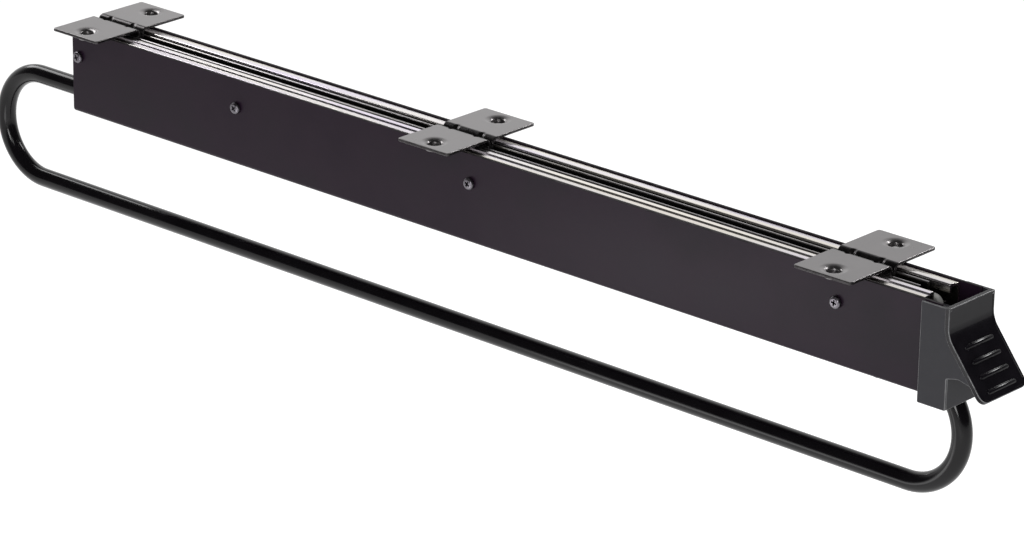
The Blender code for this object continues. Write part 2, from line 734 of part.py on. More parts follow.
def rod_slot():
    """A round-ended slot that lets the front bend of the rod pass down through the floor."""
    half = ROD_RADIUS + ROD_SLOT_GAP
    start = ROD_FRONT_X + ROD_SLOT_GAP
    end = CHANNEL_FRONT + HANDLE_END_SPACE
    outline = arc((start, 0), half, 90, 270, CORNER_STEPS * 3) + [(end, -half), (end, half)]
    return slab("rod_slot", outline, Matrix.Translation((0, 0, CHANNEL_BOTTOM)), CHANNEL_SHEET * 4)


# Hanging rod: one bar bent round at both ends, its ends screwed to the channel floor


def rod_screw_places():
    rear = CHANNEL_REAR + ROD_REAR_HOLD - ROD_DIAMETER
    front = ROD_FRONT_X - ROD_FRONT_HOLD + ROD_DIAMETER
    return (rear - ROD_SCREW_SPREAD, rear, front, front + ROD_SCREW_SPREAD)


def make_rod():
    route = [(CHANNEL_REAR + ROD_REAR_HOLD, ROD_UPPER)]
    route += arc((ROD_REAR_X, ROD_MID), ROD_BEND, 90, 270, ROD_BEND_STEPS)
    route += arc((ROD_FRONT_X, ROD_MID), ROD_BEND, -90, 90, ROD_BEND_STEPS)
    route += [(ROD_FRONT_X - ROD_FRONT_HOLD, ROD_UPPER)]
    curve = bpy.data.curves.new("hanging_rod", "CURVE")
    curve.dimensions = "3D"
    curve.bevel_depth = ROD_RADIUS
    curve.bevel_resolution = ROD_SIDES_RESOLUTION
    curve.use_fill_caps = True
    spline = curve.splines.new("POLY")
    spline.points.add(len(route) - 1)
    for point, (x, z) in zip(spline.points, route):
        point.co = (x, 0, z, 1)
    rod = as_mesh(placed("rod", curve))
    low = ROD_UPPER - ROD_DIAMETER
    high = ROD_UPPER + SEAT_GAP
    holes = [
        cylinder("tapped_hole", ROD_SCREW_RADIUS + HOLE_GAP, (x, 0, low), (x, 0, high))
        for x in rod_screw_places()
    ]
    cut(rod, together("tapped_holes", holes))
    return named(rod, "hanging_rod", ROD_BLACK)


# End handle: open box over the channel's end, flared finger plate with grip ribs, two feet


def handle_screw_place(side):
    x = FRONT_IN - TONGUE_FOOT_LENGTH + HANDLE_SCREW_INSET
    return x, side * (ROD_RADIUS + TONGUE_FOOT_GAP + HANDLE_SCREW_EDGE)


def flare_point(along, depth=0.0):
    """A point of the finger plate in X and Z: along its face from the turn, and behind the face."""
    x = FRONT_OUT + along * math.sin(FLARE_ANGLE) - depth * math.cos(FLARE_ANGLE)
    z = HANDLE_RIM - FLARE_DROP - along * math.cos(FLARE_ANGLE) - depth * math.sin(FLARE_ANGLE)
    return x, z


def flare_frame(depth):
    """Lays an outline in Y and length along the finger plate, behind the plate's face."""
    down = Vector((math.sin(FLARE_ANGLE), 0, -math.cos(FLARE_ANGLE)))
    sideways = Vector((0, 1, 0))
    normal = sideways.cross(down)
    x, z = flare_point(0, depth)
    frame = Matrix((sideways, down, normal)).transposed().to_4x4()
    return Matrix.Translation((x, 0, z)) @ frame


def handle_body():
    """The outside of the handle: box, flared finger plate and finger arch in one side outline."""
    turn = flare_point(0)
    spill = FLARE_LENGTH + PLATE_CORNER
    springing = flare_point(FLARE_LENGTH - LIP_LENGTH, HANDLE_FRONT)
    crown = ((FRONT_OUT + springing[0]) / 2, springing[1] + ARCH_RISE)
    corners = [
        (HANDLE_REAR, HANDLE_BASE, HANDLE_EDGE),
        (HANDLE_REAR, HANDLE_RIM, HANDLE_EDGE),
        (FRONT_OUT, HANDLE_RIM, HANDLE_EDGE),
        (*turn, FLARE_BEND),
        (*flare_point(spill), 0),
        (*flare_point(spill, HANDLE_FRONT), 0),
        (*springing, HANDLE_EDGE),
        (*crown, PLATE_CORNER),
        (FRONT_OUT, springing[1], HANDLE_EDGE),
        (FRONT_OUT, HANDLE_BASE, HANDLE_EDGE),
    ]
    body = slab("handle", rounded(corners), SIDEWAYS, HANDLE_OUT * 3)
    face = rounded(
        [
            (-HANDLE_OUT, -FLARE_LENGTH * 3, 0),
            (HANDLE_OUT, -FLARE_LENGTH * 3, 0),
            (HANDLE_OUT, FLARE_LENGTH, PLATE_CORNER),
            (-HANDLE_OUT, FLARE_LENGTH, PLATE_CORNER),
        ]
    )
    return combine(body, slab("handle_face", face, flare_frame(0), FLARE_LENGTH * 6), "INTERSECT")


def finger_pocket():
    """The hollow behind the finger plate, between the side webs."""
    back = HANDLE_FRONT + SEAT_GAP
    wall = FRONT_OUT + SEAT_GAP
    top = flare_point(FLARE_BEND, back)
    low = flare_point(FLARE_LENGTH, back)
    outline = rounded([(wall, top[1], SEAT_GAP), (*top, SEAT_GAP), (*low, 0), (wall, low[1], 0)])
    return slab("finger_pocket", outline, SIDEWAYS, (HANDLE_OUT - SIDE_WEB) * 2)


def handle_slot():
    """The mouth in the handle's floor where the rod comes up, open to the rear."""
    half = ROD_RADIUS + ROD_SLOT_GAP
    rod_front = math.sqrt((ROD_BEND + ROD_RADIUS) ** 2 - (HANDLE_BASE - ROD_MID) ** 2)
    middle = ROD_FRONT_X + rod_front + ROD_SLOT_GAP / 2 - half
    outline = arc((middle, 0), half, -90, 90, CORNER_STEPS * 3)
    outline += [(HANDLE_REAR - HANDLE_OVERLAP, half), (HANDLE_REAR - HANDLE_OVERLAP, -half)]
    return slab("handle_slot", outline, Matrix.Translation((0, 0, HANDLE_BASE)), HANDLE_FLOOR * 3)


def make_handle():
    handle = handle_body()
    cavity = block(
        "cavity",
        (HANDLE_REAR - HANDLE_OVERLAP, -HANDLE_IN, CHANNEL_BOTTOM - SEAT_GAP),
        (FRONT_IN, HANDLE_IN, HANDLE_RIM + HANDLE_OVERLAP),
    )
    cut(handle, cavity, finger_pocket(), handle_slot())
    for side in (-1, 1):
        add_foot(handle, side)
    for number in range(GRIP_RIBS):
        join(handle, grip_rib(FLARE_LENGTH - GRIP_RIB_INSET - number * GRIP_RIB_PITCH))
    rib_mid = BUFFER_Z - BUFFER_RADIUS
    rib = block(
        "buffer_rib",
        (BUFFER_X + BUFFER_RADIUS + SEAT_GAP, -BUFFER_RIB / 2, rib_mid - BUFFER_RIB_HEIGHT / 2),
        (FRONT_IN + HANDLE_FRONT / 2, BUFFER_RIB / 2, rib_mid + BUFFER_RIB_HEIGHT / 2),
    )
    join(handle, rib)
    return named(handle, "end_handle", HANDLE_BLACK)


def add_foot(handle, side):
    """A foot that lies on the channel floor beside the rod, with its screw hole."""
    near, far = sorted((side * (ROD_RADIUS + TONGUE_FOOT_GAP), side * (WALL_IN - SEAT_GAP)))
    under = FLOOR_TOP + SEAT_GAP
    foot = block(
        "foot",
        (FRONT_IN - TONGUE_FOOT_LENGTH, near, under),
        (FRONT_IN + HANDLE_FRONT / 2, far, under + TONGUE_FOOT_HEIGHT),
    )
    join(handle, foot)
    x, y = handle_screw_place(side)
    cut(
        handle,
        cylinder(
            "foot_hole",
            HANDLE_SCREW_RADIUS + HOLE_GAP,
            (x, y, CHANNEL_BOTTOM),
            (x, y, under + TONGUE_FOOT_HEIGHT * 0.8),
        ),
    )


def grip_rib(along):
    """One raised rib across the finger plate, with round ends."""
    radius = GRIP_RIB_WIDTH / 2
    reach = GRIP_RIB_LENGTH / 2 - radius
    outline = arc((reach, along), radius, -90, 90, CORNER_STEPS)
    outline += arc((-reach, along), radius, 90, 270, CORNER_STEPS)
    return slab("grip_rib", outline, flare_frame(0), GRIP_RIB_HEIGHT * 2)


# Screws, closing buffer and its pin


def make_fasteners():
    side_screw = headed_mesh(
        "side_screw", SIDE_HEAD_RADIUS, SIDE_HEAD, SIDE_SCREW_RADIUS, WALL_OUT + SEAT_GAP - OUTER_WEB
    )
    for hand, side in (("left", -1), ("right", 1)):
        for number, x in enumerate(SIDE_SCREW_PLACES, 1):
            seat = (x, side * (WALL_OUT + SEAT_GAP), SIDE_SCREW_Z)
            placed(
                f"side_screw_{hand}_{number}", side_screw, SCREW_BLACK, turned_about(seat, (0, side, 0))
            )
    under = CHANNEL_BOTTOM - SEAT_GAP
    handle_screw = headed_mesh(
        "handle_screw",
        HANDLE_SCREW_HEAD_RADIUS,
        HANDLE_SCREW_HEAD,
        HANDLE_SCREW_RADIUS,
        CHANNEL_SHEET + SEAT_GAP * 2 + TONGUE_FOOT_HEIGHT * 0.7,
    )
    for hand, side in (("left", -1), ("right", 1)):
        x, y = handle_screw_place(side)
        placed(f"handle_screw_{hand}", handle_screw, SCREW_BLACK, turned_about((x, y, under), (0, 0, -1)))
    rod_screw = headed_mesh(
        "rod_screw",
        ROD_SCREW_HEAD_RADIUS,
        ROD_SCREW_HEAD,
        ROD_SCREW_RADIUS,
        ROD_UPPER - under,
    )
    for name, x in zip(("rear_1", "rear_2", "front_1", "front_2"), rod_screw_places()):
        placed(f"rod_screw_{name}", rod_screw, SCREW_BLACK, turned_about((x, 0, under), (0, 0, -1)))


def make_buffer():
    half = INNER_FACE - SEAT_GAP
    wheel = cylinder("buffer", BUFFER_RADIUS, (BUFFER_X, -half, BUFFER_Z), (BUFFER_X, half, BUFFER_Z))
    bevel = wheel.modifiers.new("soft_edges", "BEVEL")
    bevel.width = HANDLE_EDGE
    bevel.segments = 2
    bevel.limit_method = "ANGLE"
    wheel = as_mesh(wheel)
    reach = INNER_FACE + INNER_SHEET
    cut(
        wheel,
        cylinder(
            "pin_bore",
            BUFFER_PIN_RADIUS + HOLE_GAP,
            (BUFFER_X, -reach, BUFFER_Z),
            (BUFFER_X, reach, BUFFER_Z),
        ),
    )
    named(wheel, "closing_buffer", RUBBER)
    pin = cylinder(
        "pin", BUFFER_PIN_RADIUS, (BUFFER_X, -reach, BUFFER_Z), (BUFFER_X, reach, BUFFER_Z), 16
    )
    named(pin, "buffer_pin", STEEL)


make_brackets()
for hand_name, hand_side in (("left", -1), ("right", 1)):
    inner_rail(hand_name, hand_side)
    outer_rail(hand_name, hand_side)
    ball_cage(hand_name, hand_side)
make_channel()
make_rod()
make_handle()
make_fasteners()
make_buffer()

# Bodies: what hangs from the shelf, what slides out, and the ball cages that roll between them


def body(name, place, starts):
    """An empty on the sliding line that carries the pieces of one body."""
    carrier = bpy.data.objects.new(name, None)
    carrier.location = place
    pieces = [obj for obj in parts.objects if obj.name.startswith(starts)]
    parts.objects.link(carrier)
    for obj in pieces:
        obj.parent = carrier
        obj.matrix_parent_inverse = Matrix.Translation(place).inverted()


body("mounting", (0, 0, 0), ("bracket_", "inner_rail_", "rivet_", "closing_buffer", "buffer_pin"))
body(
    "carriage",
    (0, 0, SLIDE_MID),
    ("channel", "outer_rail_", "side_screw_", "end_handle", "hanging_rod", "handle_screw_", "rod_screw_"),
)
body("cage_left", (CAGE_REAR, -BALL_Y, SLIDE_MID), "ball_cage_left")
body("cage_right", (CAGE_REAR, BALL_Y, SLIDE_MID), "ball_cage_right")
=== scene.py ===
import math

import bmesh
import bpy
from mathutils import Matrix, Vector


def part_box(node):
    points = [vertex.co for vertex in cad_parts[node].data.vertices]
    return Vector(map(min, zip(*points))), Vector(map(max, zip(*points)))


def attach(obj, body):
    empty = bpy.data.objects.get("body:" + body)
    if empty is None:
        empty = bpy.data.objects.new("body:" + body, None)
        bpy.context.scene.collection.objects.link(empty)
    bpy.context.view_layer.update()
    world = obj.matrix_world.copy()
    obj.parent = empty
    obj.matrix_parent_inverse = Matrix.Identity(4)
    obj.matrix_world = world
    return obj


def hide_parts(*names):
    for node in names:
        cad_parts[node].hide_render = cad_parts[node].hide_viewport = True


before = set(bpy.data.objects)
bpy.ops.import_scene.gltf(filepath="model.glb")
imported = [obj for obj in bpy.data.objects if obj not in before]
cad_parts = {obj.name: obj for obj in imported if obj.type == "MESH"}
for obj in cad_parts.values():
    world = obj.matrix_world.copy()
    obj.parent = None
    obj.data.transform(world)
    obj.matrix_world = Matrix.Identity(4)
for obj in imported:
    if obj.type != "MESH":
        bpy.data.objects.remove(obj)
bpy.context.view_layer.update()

# Angle brackets: six plates of sheet steel, plated black nickel, each folded down into a web.
# The plate is dished round its screw hole, and two ribs are pressed across the fold to stiffen it.
# Its rims take a darker nickel, and the fold is darkened too, as painted shade. Shapes are drawn in
# millimetres.

MM_PER_METRE = 1000
PLACES = ("rear", "middle", "front")
PLATE_LENGTH = 26.8
PLATE_REACH = 25.7
PLATE_SHEET = 1.2
PLATE_CORNER = 1.2
PLATE_EDGE = 0.26
WEB_FACE = 0.4
WEB_DROP = 26.0
WEB_STEPS = (0.4,) * 5
FOLD_RADIUS = 2.6
FOLD_END = WEB_FACE + FOLD_RADIUS
DISH_MIDDLE = 18.6
DISH_WINDOW = (6.09, 5.9)
WINDOW_MARGIN = 0.6
DISH_RADIUS = 5.6
# Radius and level of each ring, down the slope of the dish and the thread of its hole
DISH_RINGS = (
    (5.4, -0.012), (5.1, -0.05), (4.7, -0.13), (4.3, -0.23), (3.9, -0.35), (3.55, -0.48), (3.25, -0.64),
    (3.0, -0.86), (2.84, -1.0), (2.75, -1.34), (2.84, -1.42), (2.83, -1.56), (2.74, -1.9), (2.84, -1.98),
    (2.68, -2.2), (2.5, -2.5),
)
PRESSED_RIBS = (-6.7, 6.7)
PRESSED_REACH = 3.0
PRESSED_HALF = 1.5
PRESSED_SHARE = 0.6
# The rim is where the sheet turns sharply, clear of the dish and of the ribs near the fold
RIM_TURN = 1.2
RIM_TO_DISH = 6.0
RIM_TO_RIB = 2.0
RIB_ZONE = 8.0
RIM_DEPTH = 0.05
RIM_SLOPE = 0.3


def surface(name):
    """A new material: its node maker, its linker and its shader."""
    material = bpy.data.materials.new(name)
    material.use_nodes = True
    tree = material.node_tree
    return material, tree.nodes, tree.links, tree.nodes["Principled BSDF"]


def grain(nodes, links, scale, detail=3.0, stretch=(1.0, 1.0, 1.0), shift=0.0):
    """Noise on the piece's own coordinates, stretched where a finish runs along the metal."""
    place = nodes.new("ShaderNodeTexCoord")
    turn = nodes.new("ShaderNodeMapping")
    turn.inputs["Scale"].default_value = stretch
    turn.inputs["Location"].default_value = (shift, 0.0, 0.0)
    links.new(place.outputs["Object"], turn.inputs["Vector"])
    noise = nodes.new("ShaderNodeTexNoise")
    noise.inputs["Scale"].default_value = scale
    noise.inputs["Detail"].default_value = detail
    links.new(turn.outputs["Vector"], noise.inputs["Vector"])
    return noise


def tinted(nodes, links, noise, shader, *colors):
    """Runs a noise through evenly spaced colours into the base colour."""
    first, span = 0.28, 0.44
    ramp = nodes.new("ShaderNodeValToRGB")
    stops = ramp.color_ramp.elements
    while len(stops) < len(colors):
        stops.new(0.5)
    for number, color in enumerate(colors):
        stops[number].position = first + span * number / (len(colors) - 1)
        stops[number].color = (*color, 1.0)
    links.new(noise.outputs["Fac"], ramp.inputs["Fac"])
    links.new(ramp.outputs["Color"], shader.inputs["Base Color"])


def roughened(nodes, links, noise, shader, low, high):
    """Lets a noise vary the roughness between two values."""
    spread = nodes.new("ShaderNodeMapRange")
    spread.inputs["From Min"].default_value = 0.3
    spread.inputs["From Max"].default_value = 0.7
    spread.inputs["To Min"].default_value = low
    spread.inputs["To Max"].default_value = high
    links.new(noise.outputs["Fac"], spread.inputs["Value"])
    links.new(spread.outputs["Result"], shader.inputs["Roughness"])


def raised(nodes, links, noise, shader, strength, height):
    """Lets a noise raise the surface by a small height in metres."""
    bump = nodes.new("ShaderNodeBump")
    bump.inputs["Strength"].default_value = strength
    bump.inputs["Distance"].default_value = height
    links.new(noise.outputs["Fac"], bump.inputs["Height"])
    links.new(bump.outputs["Normal"], shader.inputs["Normal"])


def box_of(node):
    """The low and the high corner of a node's box, in millimetres."""
    low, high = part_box(node)
    return low * MM_PER_METRE, high * MM_PER_METRE


def finished(
    shape, name, material, body, stands_for=(), edge=0.0, limit=50, edge_material=None
):
    """A piece from a shape in millimetres, its edges rounded, given an edge material or plain, that rides on
    a body.
    """
    smooth_limit, join = 40, 0.0005
    bmesh.ops.remove_doubles(shape, verts=shape.verts, dist=join)
    bmesh.ops.recalc_face_normals(shape, faces=shape.faces)
    bmesh.ops.scale(shape, vec=(1 / MM_PER_METRE,) * 3, verts=shape.verts)
    mesh = bpy.data.meshes.new(name)
    shape.to_mesh(mesh)
    shape.free()
    mesh.materials.append(material)
    mesh.shade_smooth()
    mesh.set_sharp_from_angle(angle=math.radians(min(limit, smooth_limit)))
    piece = bpy.data.objects.new(name, mesh)
    bpy.context.scene.collection.objects.link(piece)
    if edge:
        soften = piece.modifiers.new("rounded_edges", "BEVEL")
        soften.width = edge / MM_PER_METRE
        soften.segments = 3
        soften.limit_method = "ANGLE"
        soften.angle_limit = math.radians(limit)
        soften.use_clamp_overlap = False
        soften.harden_normals = True
    if edge_material:
        mesh.materials.append(edge_material)
        soften.material = 1
    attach(piece, body)
    if stands_for:
        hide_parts(*stands_for)
    return piece


def ring_of(grown):
    """The edges and vertices that an extrusion has just made."""
    edges = [item for item in grown["geom"] if isinstance(item, bmesh.types.BMEdge)]
    verts = [item for item in grown["geom"] if isinstance(item, bmesh.types.BMVert)]
    return edges, verts


def rounded(shape, geom, offset, steps, affect="EDGES"):
    """Rounds edges or corners in even steps."""
    bmesh.ops.bevel(
        shape,
        geom=geom,
        offset=offset,
        offset_type="OFFSET",
        affect=affect,
        segments=steps,
        profile=0.5,
        material=-1,
    )


def thickened(shape, sheet, outwards):
    """Gives a folded sheet its thickness, behind the side that faces outwards."""
    outwards = Vector(outwards)
    bmesh.ops.recalc_face_normals(shape, faces=shape.faces)
    shape.normal_update()
    outermost = max(shape.faces, key=lambda face: face.calc_center_median().dot(outwards))
    if outermost.normal.dot(outwards) < 0:
        bmesh.ops.reverse_faces(shape, faces=shape.faces)
    bmesh.ops.solidify(shape, geom=shape.faces[:], thickness=sheet)


def in_window(point, margin=0.0):
    """Whether a point of the plate lies in the window that the dish fills."""
    half_length, half_reach = DISH_WINDOW
    return abs(point.x) < half_length + margin and abs(point.y - DISH_MIDDLE) < half_reach + margin


def from_rib(point):
    """How far a point lies along the bracket from the nearest pressed rib."""
    return min(abs(point.x - rib) for rib in PRESSED_RIBS)


def pressed_bracket():
    """One bracket about its own middle, its plate out to +Y."""
    shape = bmesh.new()
    bmesh.ops.create_grid(shape, x_segments=88, y_segments=40, size=0.5)
    bmesh.ops.scale(shape, vec=(PLATE_LENGTH, PLATE_REACH - FOLD_END, 1), verts=shape.verts)
    bmesh.ops.translate(shape, vec=(0, (PLATE_REACH + FOLD_END) / 2, 0), verts=shape.verts)

    # The dish takes the place of a square window in the plate
    window = [face for face in shape.faces if in_window(face.calc_center_median())]
    bmesh.ops.delete(shape, geom=window, context="FACES")
    mouth = [
        edge for edge in shape.edges
        if edge.is_boundary and all(in_window(v.co, WINDOW_MARGIN) for v in edge.verts)
    ]
    middle = Matrix.Translation((0, DISH_MIDDLE, 0))
    radius, height = DISH_RADIUS, 0.0
    ring, verts = ring_of(bmesh.ops.extrude_edge_only(shape, edges=mouth))
    for vert in verts:
        vert.co = middle.translation + (vert.co - middle.translation).normalized() * radius
    for ring_radius, ring_height in DISH_RINGS:
        ring, verts = ring_of(bmesh.ops.extrude_edge_only(shape, edges=ring))
        share = ring_radius / radius
        bmesh.ops.scale(shape, vec=(share, share, 1), space=middle.inverted(), verts=verts)
        bmesh.ops.translate(shape, vec=(0, 0, ring_height - height), verts=verts)
        radius, height = ring_radius, ring_height

    # The two outer corners are drawn in to a radius
    for vert in shape.verts:
        across = (abs(vert.co.x) - PLATE_LENGTH / 2) / PLATE_CORNER + 1
        out = (vert.co.y - PLATE_REACH) / PLATE_CORNER + 1
        if across > 0 and out > 0:
            side = math.copysign(1, vert.co.x)
            drawn_in = (across * math.sqrt(1 - out ** 2 / 2) - 1) * PLATE_CORNER
            vert.co.x = side * (PLATE_LENGTH / 2 + drawn_in)
            vert.co.y = PLATE_REACH + (out * math.sqrt(1 - across ** 2 / 2) - 1) * PLATE_CORNER

    # Fold and web
    edge = [e for e in shape.edges if all(v.co.y < FOLD_END + 0.001 for v in e.verts)]
    verts = list({v for e in edge for v in e.verts})
    spun = bmesh.ops.spin(
        shape,
        geom=edge + verts,
        cent=(0, FOLD_END, -FOLD_RADIUS),
        axis=(1, 0, 0),
        angle=math.pi / 2,
        steps=10,
        use_duplicate=False,
    )
    edge = [item for item in spun["geom_last"] if isinstance(item, bmesh.types.BMEdge)]
    for drop in (*WEB_STEPS, WEB_DROP - FOLD_RADIUS - sum(WEB_STEPS)):
        edge, verts = ring_of(bmesh.ops.extrude_edge_only(shape, edges=edge))
        bmesh.ops.translate(shape, vec=(0, 0, -drop), verts=verts)

    # Ribs pressed across the fold
    inwards = Vector((0, 1, -1)).normalized()
    for vert in shape.verts:
        depth = PRESSED_REACH - (vert.co.y - WEB_FACE) + vert.co.z
        beside = from_rib(vert.co) / PRESSED_HALF
        if depth > 0 and beside < 1:
            vert.co += inwards * depth * PRESSED_SHARE / math.sqrt(2) * (1 - beside ** 2) ** 1.5
    thickened(shape, PLATE_SHEET, (0, -1, 0))
    shape.normal_update()
    rim = [
        edge for edge in shape.edges
        if edge.calc_face_angle(0) > RIM_TURN
        and (edge.verts[0].co.xy - middle.translation.xy).length > RIM_TO_DISH
        and not (edge.verts[0].co.y < RIB_ZONE and from_rib(edge.verts[0].co) < RIM_TO_RIB)
    ]
    rounded(shape, rim, PLATE_EDGE, 3)
    return shape


black_nickel, nodes, links, shader = surface("black_nickel")
cloud = grain(nodes, links, 90.0)
fine = grain(nodes, links, 2600.0, 2.0)
tinted(nodes, links, cloud, shader, (0.176, 0.168, 0.170), (0.220, 0.210, 0.212))
roughened(nodes, links, cloud, shader, 0.27, 0.34)
raised(nodes, links, fine, shader, 0.12, 0.00004)
shader.inputs["Metallic"].default_value = 1.0

# A darker, rougher nickel for the rims of the plates.
dark_rim_nickel, nodes, links, shader = surface("dark_rim_nickel")
drag = grain(nodes, links, 900.0, 2.0, (1.0, 1.0, 0.1))
tinted(nodes, links, drag, shader, (0.026, 0.024, 0.025), (0.075, 0.070, 0.072))
roughened(nodes, links, drag, shader, 0.38, 0.52)
raised(nodes, links, drag, shader, 0.2, 0.00004)
shader.inputs["Metallic"].default_value = 1.0

# Painted shade: a darker copy of the nickel for the fold, standing for the shade in the crease between the
# plates.
fold_shade_nickel, nodes, links, shader = surface("fold_shade_nickel")
cloud = grain(nodes, links, 300.0)
tinted(nodes, links, cloud, shader, (0.030, 0.028, 0.029), (0.058, 0.054, 0.055))
roughened(nodes, links, cloud, shader, 0.24, 0.32)
shader.inputs["Metallic"].default_value = 1.0

for place in PLACES:
    for hand, turn in (("left", math.pi), ("right", 0.0)):
        node = f"bracket_{place}_{hand}"
        low, high = box_of(node)
        shape = pressed_bracket()
        along = Matrix.Translation(((low.x + high.x) / 2, 0, 0))
        bmesh.ops.transform(shape, matrix=along @ Matrix.Rotation(turn, 4, "Z"), verts=shape.verts)
        bracket = finished(shape, f"pressed_{node}", black_nickel, "mounting", [node])
        bracket.data.materials.append(dark_rim_nickel)
        bracket.data.materials.append(fold_shade_nickel)
        for face in bracket.data.polygons:
            center = face.center * MM_PER_METRE
            at_end = min(center.x - low.x, high.x - center.x) < RIM_DEPTH
            at_front = abs(center.y) > PLATE_REACH - PLATE_CORNER
            if (at_end or at_front) and abs(face.normal.z) < RIM_SLOPE:
                face.material_index = 1
            # The fold takes the painted shade.
            elif abs(center.y) < FOLD_END and center.z > -PRESSED_REACH:
                face.material_index = 2

# Inner rails: strips of zinc-plated steel with a hemmed top and bottom edge and a rolled race on each
# side of the web. The brackets are riveted to them, so they stay still under the shelf. The hems and
# races are painted dark as shade, and the web and the crest of the hem are painted lighter, as lit zinc.

SIDES = (("left", -1), ("right", 1))
INNER_REAR, INNER_FRONT = -213.1, 226.4
SLIDE_MIDDLE = -16.6
# Across, up from the middle of the slide, and radius of each corner of the section
INNER_CORNERS = (
    (1.9, 13.2, 0.66), (3.3, 13.2, 0.66), (3.3, 8.6, 0.4), (6.3, 8.6, 0.4), (6.9, 8.38, 0.4),
    (7.9, 8.3, 0.5), (8.6, 8.5, 0.2), (9.0, 8.6, 0.2), (9.0, 7.5, 0.3), (2.8, 7.5, 0.5),
    (2.8, -7.5, 0.5), (9.0, -7.5, 0.3), (9.0, -8.6, 0.2), (8.6, -8.5, 0.2), (7.9, -8.3, 0.5),
    (6.9, -8.38, 0.4), (6.3, -8.6, 0.4), (3.3, -8.6, 0.4), (3.3, -12.6, 0.66), (1.9, -12.6, 0.66),
)
# An ear at the front end takes the pin of the buffer, and a lug behind it stops the ball cage
EAR_REACH = 7.8
EAR_INSIDE, EAR_OUTSIDE = 1.92, 2.78
EAR_BASE, EAR_TOP = -22.0, -9.0
LUG_NEAR, LUG_FAR = 0.3, 1.6
LUG_HALF = 3.0
INNER_LUG_INSIDE, INNER_LUG_OUTSIDE = 2.4, 9.0
INNER_EDGE = 0.12
# Only faces that run the whole length have their middle within this length of the rail's middle
LONG_FACE = 100.0
LIT_WEB_HALF = 7.3
LIT_WEB_OUTSIDE = 2.5
LIT_CREST = 12.9


def drawn(shape, corners, place, run, steps=5):
    """A flat outline of (u, v, radius) corners laid in a plane and drawn out along a run."""
    points = [shape.verts.new((u, v, 0)) for u, v, radius in corners]
    shape.faces.new(points)
    others = set(shape.verts) - set(points)
    for number, (u, v, radius) in enumerate(corners):
        if not radius:
            continue
        corner = Vector((u, v))
        before = Vector(corners[number - 1][:2]) - corner
        after = Vector(corners[(number + 1) % len(corners)][:2]) - corner
        reach = radius / math.tan(before.angle(after) / 2)
        rounded(shape, [points[number]], reach, steps, "VERTICES")
    face = [f for f in shape.faces if not any(v in others for v in f.verts)]
    verts = list({v for f in face for v in f.verts})
    bmesh.ops.transform(shape, matrix=place, verts=verts)
    grown = bmesh.ops.extrude_face_region(shape, geom=face)
    grown = [item for item in grown["geom"] if isinstance(item, bmesh.types.BMVert)]
    bmesh.ops.translate(shape, vec=run, verts=grown)


def rolled_rail(shape, corners, side, rear, front, steps=5):
    """A section, mirrored to its side of the slide, drawn from the rear to the front end of a rail."""
    # Outline axes u and v laid along Y and Z, so that the section faces along the rail
    section = Matrix(((0, 0, 1), (1, 0, 0), (0, 1, 0))).to_4x4()
    mirrored = [(side * y, z, radius) for y, z, radius in corners]
    drawn(shape, mirrored, Matrix.Translation((rear, 0, SLIDE_MIDDLE)) @ section, (front - rear, 0, 0), steps)


def block(shape, corner, opposite):
    """A plain block between two opposite corners."""
    low = Vector([min(pair) for pair in zip(corner, opposite)])
    high = Vector([max(pair) for pair in zip(corner, opposite)])
    size = Matrix.Diagonal((*(high - low), 1))
    bmesh.ops.create_cube(shape, size=1.0, matrix=Matrix.Translation((low + high) / 2) @ size)


# Painted shade: the zinc of the hems and races is darkened to stand for the shade deep between the rails.
painted_shade_zinc, nodes, links, shader = surface("painted_shade_zinc")
bands = grain(nodes, links, 14.0, 2.0, (1.0, 22.0, 22.0))
lines = grain(nodes, links, 2600.0, 2.0, (0.01, 1.0, 1.0))
tinted(nodes, links, bands, shader, (0.055, 0.050, 0.053), (0.075, 0.070, 0.071), (0.065, 0.062, 0.056))
roughened(nodes, links, lines, shader, 0.24, 0.36)
raised(nodes, links, lines, shader, 0.25, 0.00003)
shader.inputs["Metallic"].default_value = 1.0

# Painted highlight: a lighter copy of the same zinc for the web and the crest of the hem, where light falls.
painted_lit_zinc, nodes, links, shader = surface("painted_lit_zinc")
bands = grain(nodes, links, 14.0, 2.0, (1.0, 22.0, 22.0))
lines = grain(nodes, links, 2600.0, 2.0, (0.01, 1.0, 1.0))
tinted(nodes, links, bands, shader, (0.33, 0.31, 0.33), (0.44, 0.42, 0.43), (0.40, 0.38, 0.35))
roughened(nodes, links, lines, shader, 0.22, 0.32)
raised(nodes, links, lines, shader, 0.1, 0.00003)
shader.inputs["Metallic"].default_value = 1.0

for hand, side in SIDES:
    node = f"inner_rail_{hand}"
    shape = bmesh.new()
    rolled_rail(shape, INNER_CORNERS, side, INNER_REAR, INNER_FRONT)
    block(
        shape,
        (INNER_FRONT - EAR_REACH, side * EAR_INSIDE, EAR_BASE),
        (INNER_FRONT + EAR_REACH, side * EAR_OUTSIDE, EAR_TOP),
    )
    block(
        shape,
        (INNER_FRONT - LUG_FAR, side * INNER_LUG_INSIDE, SLIDE_MIDDLE - LUG_HALF),
        (INNER_FRONT - LUG_NEAR, side * INNER_LUG_OUTSIDE, SLIDE_MIDDLE + LUG_HALF),
    )
    rail = finished(shape, f"hemmed_{node}", painted_shade_zinc, "mounting", [node], INNER_EDGE)
    rail.data.materials.append(painted_lit_zinc)
    # The outer faces of the web and the crest of the hem take the painted-light zinc.
    for face in rail.data.polygons:
        center = face.center * MM_PER_METRE
        height = center.z - SLIDE_MIDDLE
        outside = abs(center.y) > LIT_WEB_OUTSIDE and abs(center.x) < LONG_FACE
        if (outside and abs(height) < LIT_WEB_HALF) or height > LIT_CREST:
            face.material_index = 1

# Rivets: plain steel, two through each bracket web into the inner rail, with a low round head.
# They are turned pieces, spun from half of their section.

